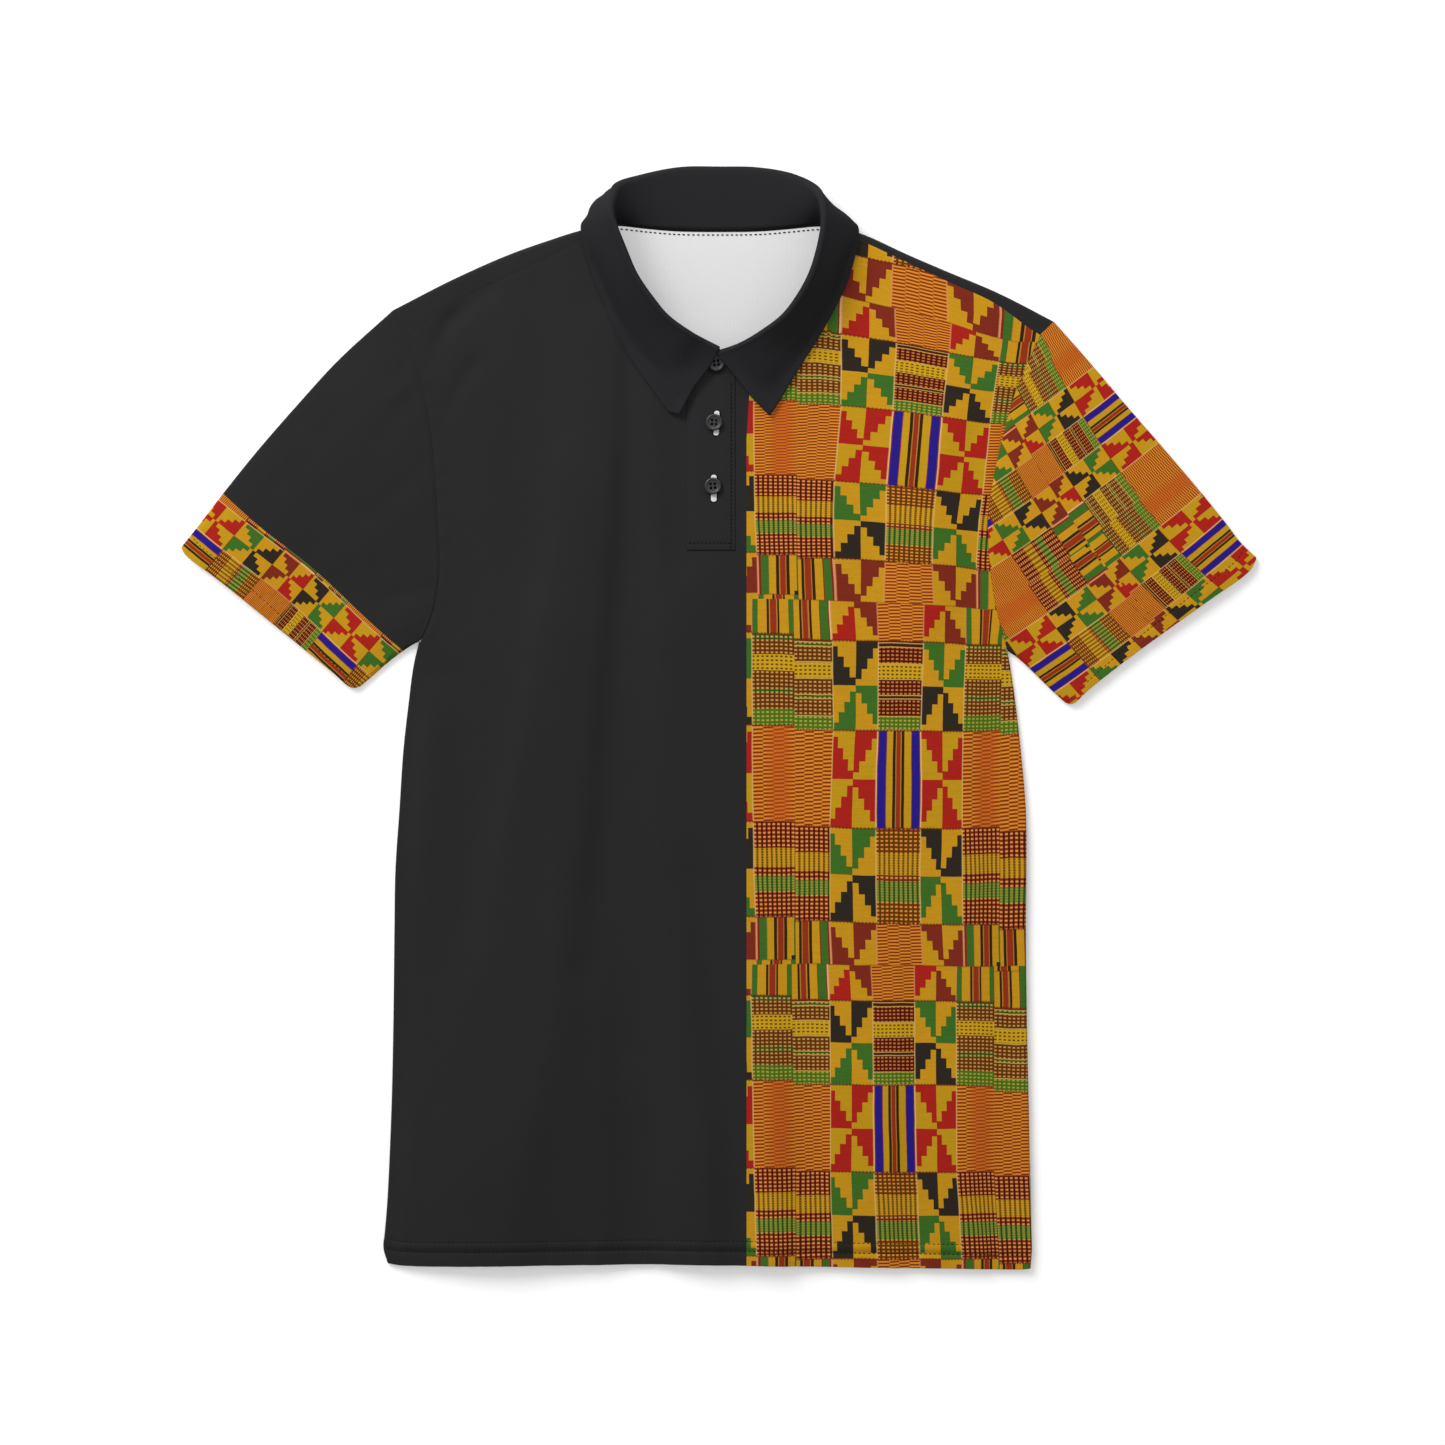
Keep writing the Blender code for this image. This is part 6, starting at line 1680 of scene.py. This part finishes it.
def stitches(skin, points, normal, length=2.5, gap=0.8, radius=0.21, lift=0.10, sink=0.28):
    """Lockstitches along a line on the cloth (mm)."""
    points, normal = np.asarray(points, float), np.asarray(normal, float)
    d = np.concatenate([[0], np.cumsum(np.linalg.norm(np.diff(points, axis=0), axis=1))])
    at = 0.4
    while at + length < d[-1]:
        real = length * RNG.uniform(0.93, 1.05)
        u = np.linspace(at, at + real, 5)
        p = np.stack([np.interp(u, d, points[:, k]) for k in range(3)], -1)
        m = np.stack([np.interp(u, d, normal[:, k]) for k in range(3)], -1)
        m = m / np.linalg.norm(m, axis=1, keepdims=True)
        h = np.array([-sink, lift * 0.6, lift, lift * 0.6, -sink])
        tube_run(skin, p + m * h[:, None], m, radius, u0=at)
        at += real + gap * RNG.uniform(0.85, 1.15)


# ----------------------------------------------------------------- buttons
BUTTONS = rows("x y turn tip aim", (-2.3, 248.4, 8, 0.5, 30), (-3.8, 206.9, -4, 0.8, 120),
               (-4.6, 162.3, 5, 0.8, 200))
BUTTON_PROFILE = rows("r z",
    (0.0, 0.0), (0.70, 0.0), (0.86, 0.10), (0.95, 0.26), (1.0, 0.48), (0.985, 0.70),
    (0.945, 0.88), (0.885, 0.985), (0.82, 1.0), (0.765, 0.95), (0.72, 0.84),
    (0.68, 0.72), (0.63, 0.655), (0.55, 0.625), (0.3, 0.61), (0.0, 0.605))
HOLE_R, HOLE_AT = 1.0, 1.45


def make_button(name, b, z, material, seg=64):
    """A turned disc with a rim, a dished middle and four holes."""
    bm = bmesh.new()
    uv_layer = bm.loops.layers.uv.new("knit")
    rings = []
    for p in BUTTON_PROFILE[1:-1]:
        rings.append([bm.verts.new((BUTTON_R * p["r"] * math.cos(2 * math.pi * k / seg) * MM,
                                    BUTTON_R * p["r"] * math.sin(2 * math.pi * k / seg) * MM,
                                    BUTTON_T * p["z"] * MM)) for k in range(seg)])
    for a, c in zip(rings, rings[1:]):
        for k in range(seg):
            bm.faces.new((a[k], a[(k + 1) % seg], c[(k + 1) % seg], c[k]))
    bm.faces.new(list(reversed(rings[0])))
    bm.faces.new(rings[-1])
    bmesh.ops.recalc_face_normals(bm, faces=bm.faces)
    mesh = bpy.data.meshes.new(name)
    bm.to_mesh(mesh)
    bm.free()
    obj = bpy.data.objects.new(name, mesh)
    bpy.context.scene.collection.objects.link(obj)
    cut = bmesh.new()
    for sx in (-1, 1):
        for sy in (-1, 1):
            made = bmesh.ops.create_cone(cut, cap_ends=True, segments=20,
                                         radius1=HOLE_R * MM, radius2=HOLE_R * MM,
                                         depth=4 * BUTTON_T * MM)
            bmesh.ops.translate(cut, verts=made["verts"],
                                vec=(sx * HOLE_AT * MM, sy * HOLE_AT * MM, 0))
    cut_mesh = bpy.data.meshes.new(name + "_cut")
    cut.to_mesh(cut_mesh)
    cut.free()
    cutter = bpy.data.objects.new(name + "_cut", cut_mesh)
    bpy.context.scene.collection.objects.link(cutter)
    mod = obj.modifiers.new("holes", "BOOLEAN")
    mod.operation, mod.solver, mod.object = "DIFFERENCE", "EXACT", cutter
    dg = bpy.context.evaluated_depsgraph_get()
    done = bpy.data.meshes.new_from_object(obj.evaluated_get(dg))
    obj.modifiers.clear()
    obj.data = done
    bpy.data.objects.remove(cutter, do_unlink=True)
    co = np.array([v.co for v in done.vertices])
    ang = np.arctan2(co[:, 1], co[:, 0])
    rad = np.hypot(co[:, 0], co[:, 1])
    layer = done.uv_layers.get("knit") or done.uv_layers.new(name="knit")
    for loop in done.loops:
        i = loop.vertex_index
        layer.data[loop.index].uv = (rad[i], co[i, 0] * 0.7 + co[i, 1])
    done.shade_smooth()
    done.set_sharp_from_angle(angle=math.radians(38))
    done.materials.clear()
    done.materials.append(material)
    obj.location = (b["x"] * MM, b["y"] * MM, z * MM)
    aim, tip = math.radians(b["aim"]), math.radians(b["tip"])
    obj.rotation_euler = (tip * math.cos(aim), tip * math.sin(aim), math.radians(b["turn"]))
    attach(obj, "root")
    return obj


def buttonhole(skin_thread, skin_white, x, y_low, y_high, half, lean=0.0):
    """A vertical buttonhole: white cloth in the slot, black satin stitch round it."""
    ang = np.linspace(0, 2 * np.pi, 60, endpoint=False)
    mid, reach = (y_low + y_high) / 2, (y_high - y_low) / 2 - half
    ring = np.stack([x + half * np.cos(ang), mid + np.sign(np.sin(ang)) * reach + half * np.sin(ang)], -1)
    ring[:, 0] += lean * (ring[:, 1] - mid)

    def top(px, py):
        return front_z(px, py) + PLACKET_LIFT + PLACKET
    # White inlay.
    u = np.linspace(-1, 1, 7)
    w = np.linspace(-1, 1, 26)
    yy = mid + w[:, None] * (y_high - y_low) / 2 * np.ones((1, 7))
    over = np.clip((np.abs(yy - mid) - reach) / half, 0, 0.98)
    xx = x + lean * (yy - mid) + u[None, :] * half * (1 - over ** 3.5) ** (1 / 3.5)
    zz = top(xx, yy) + 0.14
    grid = np.stack([xx, yy, zz], -1)
    n = np.zeros_like(grid)
    n[..., 2] = 1
    skin_white.shell(grid, 0.5, np.zeros(grid.shape[:2] + (2,)), grid[..., :2] * MM, n=n)
    # Satin stitch: short bars across the slot's edge, close together.
    loop = np.vstack([ring, ring[:1]])
    d = np.concatenate([[0], np.cumsum(np.linalg.norm(np.diff(loop, axis=0), axis=1))])
    count = int(d[-1] / 0.42)
    for k in range(count):
        s = k * d[-1] / count
        p = np.array([np.interp(s, d, loop[:, 0]), np.interp(s, d, loop[:, 1])])
        q = np.array([np.interp((s + 0.2) % d[-1], d, loop[:, 0]), np.interp((s + 0.2) % d[-1], d, loop[:, 1])])
        t = (q - p) / max(np.linalg.norm(q - p), 1e-6)
        out = np.array([t[1], -t[0]])
        a, b = p + out * 0.12, p + out * 0.95 * RNG.uniform(0.92, 1.06)
        pts = np.array([a, a * 0.7 + b * 0.3, a * 0.3 + b * 0.7, b])
        z = top(pts[:, 0], pts[:, 1]) + np.array([0.0, 0.26, 0.24, -0.1])
        tube_run(skin_thread, np.column_stack([pts, z]), np.tile([0, 0, 1.0], (4, 1)), 0.17)


def settle(obj, lift=True):
    """Raises the body's free right side a little, and keeps threads off the surface."""
    co = np.empty(len(obj.data.vertices) * 3)
    obj.data.vertices.foreach_get("co", co)
    co = co.reshape(-1, 3)
    if lift:
        x, y = co[:, 0] / MM, co[:, 1] / MM
        inset = np.maximum(side_x(y, False) - x, 0)
        co[:, 2] += 2.4 * MM * smooth(30, 0, inset) * smooth(30, -110, y)
    co[:, 2] = np.maximum(co[:, 2], 0)
    obj.data.vertices.foreach_set("co", co.ravel())
    obj.data.update()


# ------------------------------------------------------------------- build
WHITE = lin(198, 198, 199)
CHARCOAL = dye(40, 40, 41)
BLACK = dye(40.5, 40.5, 42.6)


def front_half(x, y, s, v):
    return x - (y - 195.0).max(0.0).min(40.0) * 0.063 > PRINT_X


def whole(x, y, s, v):
    return 1.0


def sleeve_band(x, y, s, v):
    """The printed band on the plain sleeve ends along a straight line."""
    return s + (-215.0 - 3.0 * ROW_PERIOD - v).max(0.0) * 0.0008 > 1.875


def main():
    white = cloth("inside_knit", WHITE, spec=0.2, marl=0.05)
    charcoal = cloth("charcoal_knit", CHARCOAL)
    black = cloth("collar_knit", BLACK, marl=0.08, spec=0.02, sheen=0.0)
    trim = cloth("placket_knit", dye(40, 40, 41.5), marl=0.08)
    front_mat = cloth("front_knit", CHARCOAL, printed=front_half)
    right_mat = cloth("printed_sleeve_knit", CHARCOAL, printed=whole)
    dark_thread = thread("black_thread", lin(12, 12, 13))
    button_thread = thread("button_thread", lin(20, 20, 21))
    button = resin("button_resin", lin(40, 40, 42))

    front, fg, fn = make_front([front_mat, white])
    back, bg, bn, folds = make_back([charcoal, white])
    left_mat = cloth("banded_sleeve_knit", CHARCOAL, printed=sleeve_band)
    left, lg, ln, la, ll = make_sleeve(True, [left_mat, white])
    right, rg, rn, ra, rl = make_sleeve(False, [right_mat, white], fit_print())
    collar, cg, cn, ch = make_collar(black)
    under, _, _ = make_strip("placket_under_cloth", SLOT[0] + 0.4, SLOT[1] - 0.4,
                             SLOT_FOOT + 0.4, -1.0, 1.0, charcoal, "placket_cloth",
                             "placket_under", groove=False)
    upper, pg, pn = make_strip("placket_upper_cloth", *PLACKET_X, PLACKET_FOOT, PLACKET_LIFT,
                               PLACKET, trim, "placket_cloth", "placket_upper")

    # Stitches.
    sk = Skin()
    for h in HEM_LINES:
        r = int(np.argmin(np.abs(HEM_ROWS - h)))
        stitches(sk, fg[r], fn[r], radius=0.29 if h < 12 else 0.21)
    front_stitch = sk.build("front_hem_stitches", [dark_thread])
    sk = Skin()
    for h in HEM_LINES:
        r = int(np.argmin(np.abs(HEM_ROWS - h)))
        stitches(sk, bg[r], bn[r], lift=-0.02)
    back_stitch = sk.build("back_hem_stitches", [dark_thread])
    made = []
    for name, g, n, along, length in (("sleeve_left", lg, ln, la, ll), ("sleeve_right", rg, rn, ra, rl)):
        sk = Skin()
        for h in SLEEVE_LINES:
            r = int(np.argmin(np.abs((1 - along) * length - h)))
            stitches(sk, np.vstack([g[r], g[r][:1]]), np.vstack([n[r], n[r][:1]]), lift=0.06)
        made.append(sk.build(name + "_stitches", [dark_thread]))
    # Placket: along its free edge and across its foot.
    sk = Skin()
    ys = np.linspace(PLACKET_FOOT + 1.0, 236, 90)
    xs = np.full(len(ys), PLACKET_X[1] - 2.6)
    z = front_face(xs, ys) + PLACKET_LIFT + PLACKET - 0.3
    up = np.tile([0, 0, 1.0], (len(ys), 1))
    stitches(sk, np.stack([xs, ys, z], -1), up, length=1.9, gap=0.9, radius=0.27, lift=0.12)
    xs = np.linspace(PLACKET_X[0] + 0.8, PLACKET_X[1] - 2.9, 30)
    ys = np.full(len(xs), 122.6)
    z = front_face(xs, ys) + PLACKET_LIFT + PLACKET - 0.25
    stitches(sk, np.stack([xs, ys, z], -1), up[:len(xs)], length=1.9, gap=0.9, radius=0.25, lift=0.10)
    placket_stitch = sk.build("placket_stitches", [dark_thread])
    # Back neck, on the inside.
    sk = Skin()
    xs = np.linspace(-70, 70, 120)
    ys = BACK_NECK.y_at(xs) - 2.0
    z = back_z(xs, ys) + PLY
    stitches(sk, np.stack([xs, ys, z], -1), np.tile([0, 0, 1.0], (len(xs), 1)), length=2.1, gap=1.3,
             radius=0.40, lift=0.25, sink=0.1)
    neck_stitch = sk.build("back_neck_stitches", [dark_thread])

    # Buttons and buttonholes.
    for i, b in enumerate(BUTTONS, 1):
        z = float(front_z(b["x"], b["y"])) + PLACKET_LIFT + PLACKET + 0.3
        obj = make_button("button_%d_turned" % i, b, z, button)
        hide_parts("button_%d" % i)
    sk, sw = Skin(), Skin()
    buttonhole(sk, sw, -2.1, 197.7, 214.9, 1.85, 0.035)
    buttonhole(sk, sw, -4.0, 151.3, 170.1, 1.95)
    sb = Skin()
    for i, b in enumerate(BUTTONS):
        # Thread through the four holes, in two bars.
        z = float(front_z(b["x"], b["y"])) + PLACKET_LIFT + PLACKET + 0.3
        for sx in (-1, 1):
            c, s = math.cos(math.radians(b["turn"])), math.sin(math.radians(b["turn"]))
            pts = []
            for u, h in ((-1.0, -0.9), (-0.72, 0.1), (0.0, 0.32), (0.72, 0.1), (1.0, -0.9)):
                px, py = sx * HOLE_AT, u * HOLE_AT
                pts.append((b["x"] + c * px - s * py, b["y"] + s * px + c * py, z + BUTTON_T * 0.61 + h * 0.5))
            tube_run(sb, np.array(pts), np.tile([0, 0, 1.0], (5, 1)), 0.2)
            # The thread's turns below, deep in each hole: discs that fill each hole, in a darker thread colour
            # than the bars on top, partly thread and partly painted shade of the hole's depth.
            for sy in (-1, 1):
                px, py = sx * HOLE_AT, sy * HOLE_AT
                at = np.array([b["x"] + c * px - s * py, b["y"] + s * px + c * py, z])
                tube_run(sk, at + np.array([[0, 0, -0.4], [0, 0, 0.25], [0, 0, 0.45]]),
                         np.tile([1.0, 0, 0], (3, 1)), 0.93)
    # Buttonhole satin stitches, and the dark discs in the button holes, which are partly painted shade.
    hole_stitch_and_shade = sk.build("buttonhole_stitch_and_hole_shade", [dark_thread])
    sewn = sb.build("button_thread", [button_thread])
    hole_white = sw.build("buttonhole_inside", [white, white])

    for obj in (front, back, front_stitch, back_stitch):
        settle(obj)
    for obj in made:
        settle(obj, False)

    # Floor, light, camera.
    mesh = bpy.data.meshes.new("surface")
    mesh.from_pydata([(-6, -6, -0.0003), (6, -6, -0.0003), (6, 6, -0.0003), (-6, 6, -0.0003)], [], [(0, 1, 2, 3)])
    floor = bpy.data.objects.new("surface", mesh)
    bpy.context.scene.collection.objects.link(floor)
    n = Nodes("pale_surface")
    n.bsdf.inputs["Base Color"].default_value = (1, 1, 1, 1)
    n.bsdf.inputs["Roughness"].default_value = 0.9
    n.bsdf.inputs["Specular IOR Level"].default_value = 0.0
    mesh.materials.append(n.mat)

    world = bpy.data.worlds.new("studio")
    world.use_nodes = True
    world.node_tree.nodes["Background"].inputs[0].default_value = (1, 1, 1, 1)
    world.node_tree.nodes["Background"].inputs[1].default_value = WORLD
    bpy.context.scene.world = world
    def lamp(name, at, size, power):
        light = bpy.data.lights.new(name, "AREA")
        light.shape, light.size, light.energy = "DISK", size, power
        obj = bpy.data.objects.new(name, light)
        obj.location, obj.rotation_euler = at, aim_euler(*at)
        bpy.context.scene.collection.objects.link(obj)
        return obj.light_linking

    def group(name, members):
        out = bpy.data.collections.new(name)
        for obj in members:
            out.objects.link(obj)
        return out

    # One key light from the upper left, told apart for the floor, so that its
    # shadows stay pale, and for the neck's inside, where the standing collar
    # keeps off only a part of it; and a softer one above.
    meshes = [obj for obj in bpy.context.scene.objects if obj.type == "MESH"]
    neck = group("neck_inside", [back, neck_stitch])
    rest = group("all_but_neck", [obj for obj in meshes if obj not in (back, neck_stitch, floor)])
    ground = group("ground", [floor])
    no_collar = group("all_but_collar", [obj for obj in meshes if obj is not collar])
    lamp("key", KEY_AT, KEY_SIZE, KEY).receiver_collection = rest
    lamp("key_ground", KEY_AT, KEY_SIZE * 2.1, KEY * 0.92).receiver_collection = ground
    link = lamp("fill_ground", KEY_AT, KEY_SIZE, KEY * 0.38)
    link.receiver_collection, link.blocker_collection = ground, group("floor_only", [floor])
    link = lamp("key_neck", KEY_AT, KEY_SIZE, KEY * 0.66)
    link.receiver_collection, link.blocker_collection = neck, no_collar
    lamp("key_neck_shaded", KEY_AT, KEY_SIZE, KEY * 0.34).receiver_collection = neck
    link = lamp("above", TOP_AT, TOP_SIZE, TOP)
    link.receiver_collection = group("all_but_ground", [obj for obj in meshes if obj is not floor])
    link.blocker_collection = no_collar

    cam = bpy.data.cameras.new("camera")
    cam.lens, cam.sensor_width = 100, 36
    obj = bpy.data.objects.new("camera", cam)
    obj.location = (0.0021, -0.00315, 2.81 + 0.005)
    obj.rotation_euler = (0, 0, 0)
    bpy.context.scene.collection.objects.link(obj)
    bpy.context.scene.camera = obj
    bpy.context.scene.view_settings.view_transform = "Standard"
    bpy.context.scene.view_settings.look = "None"


WORLD = 0.575
KEY, KEY_AT, KEY_SIZE = 201.0, (-2.4, 3.04, 2.4), 1.6
TOP, TOP_AT, TOP_SIZE = 8.3, (0.25, 1.3, 0.9), 0.8


def aim_euler(x, y, z):
    """Rotation of a lamp that shines from the direction (x, y, z)."""
    from mathutils import Vector
    return Vector((x, y, z)).to_track_quat("Z", "Y").to_euler()


main()
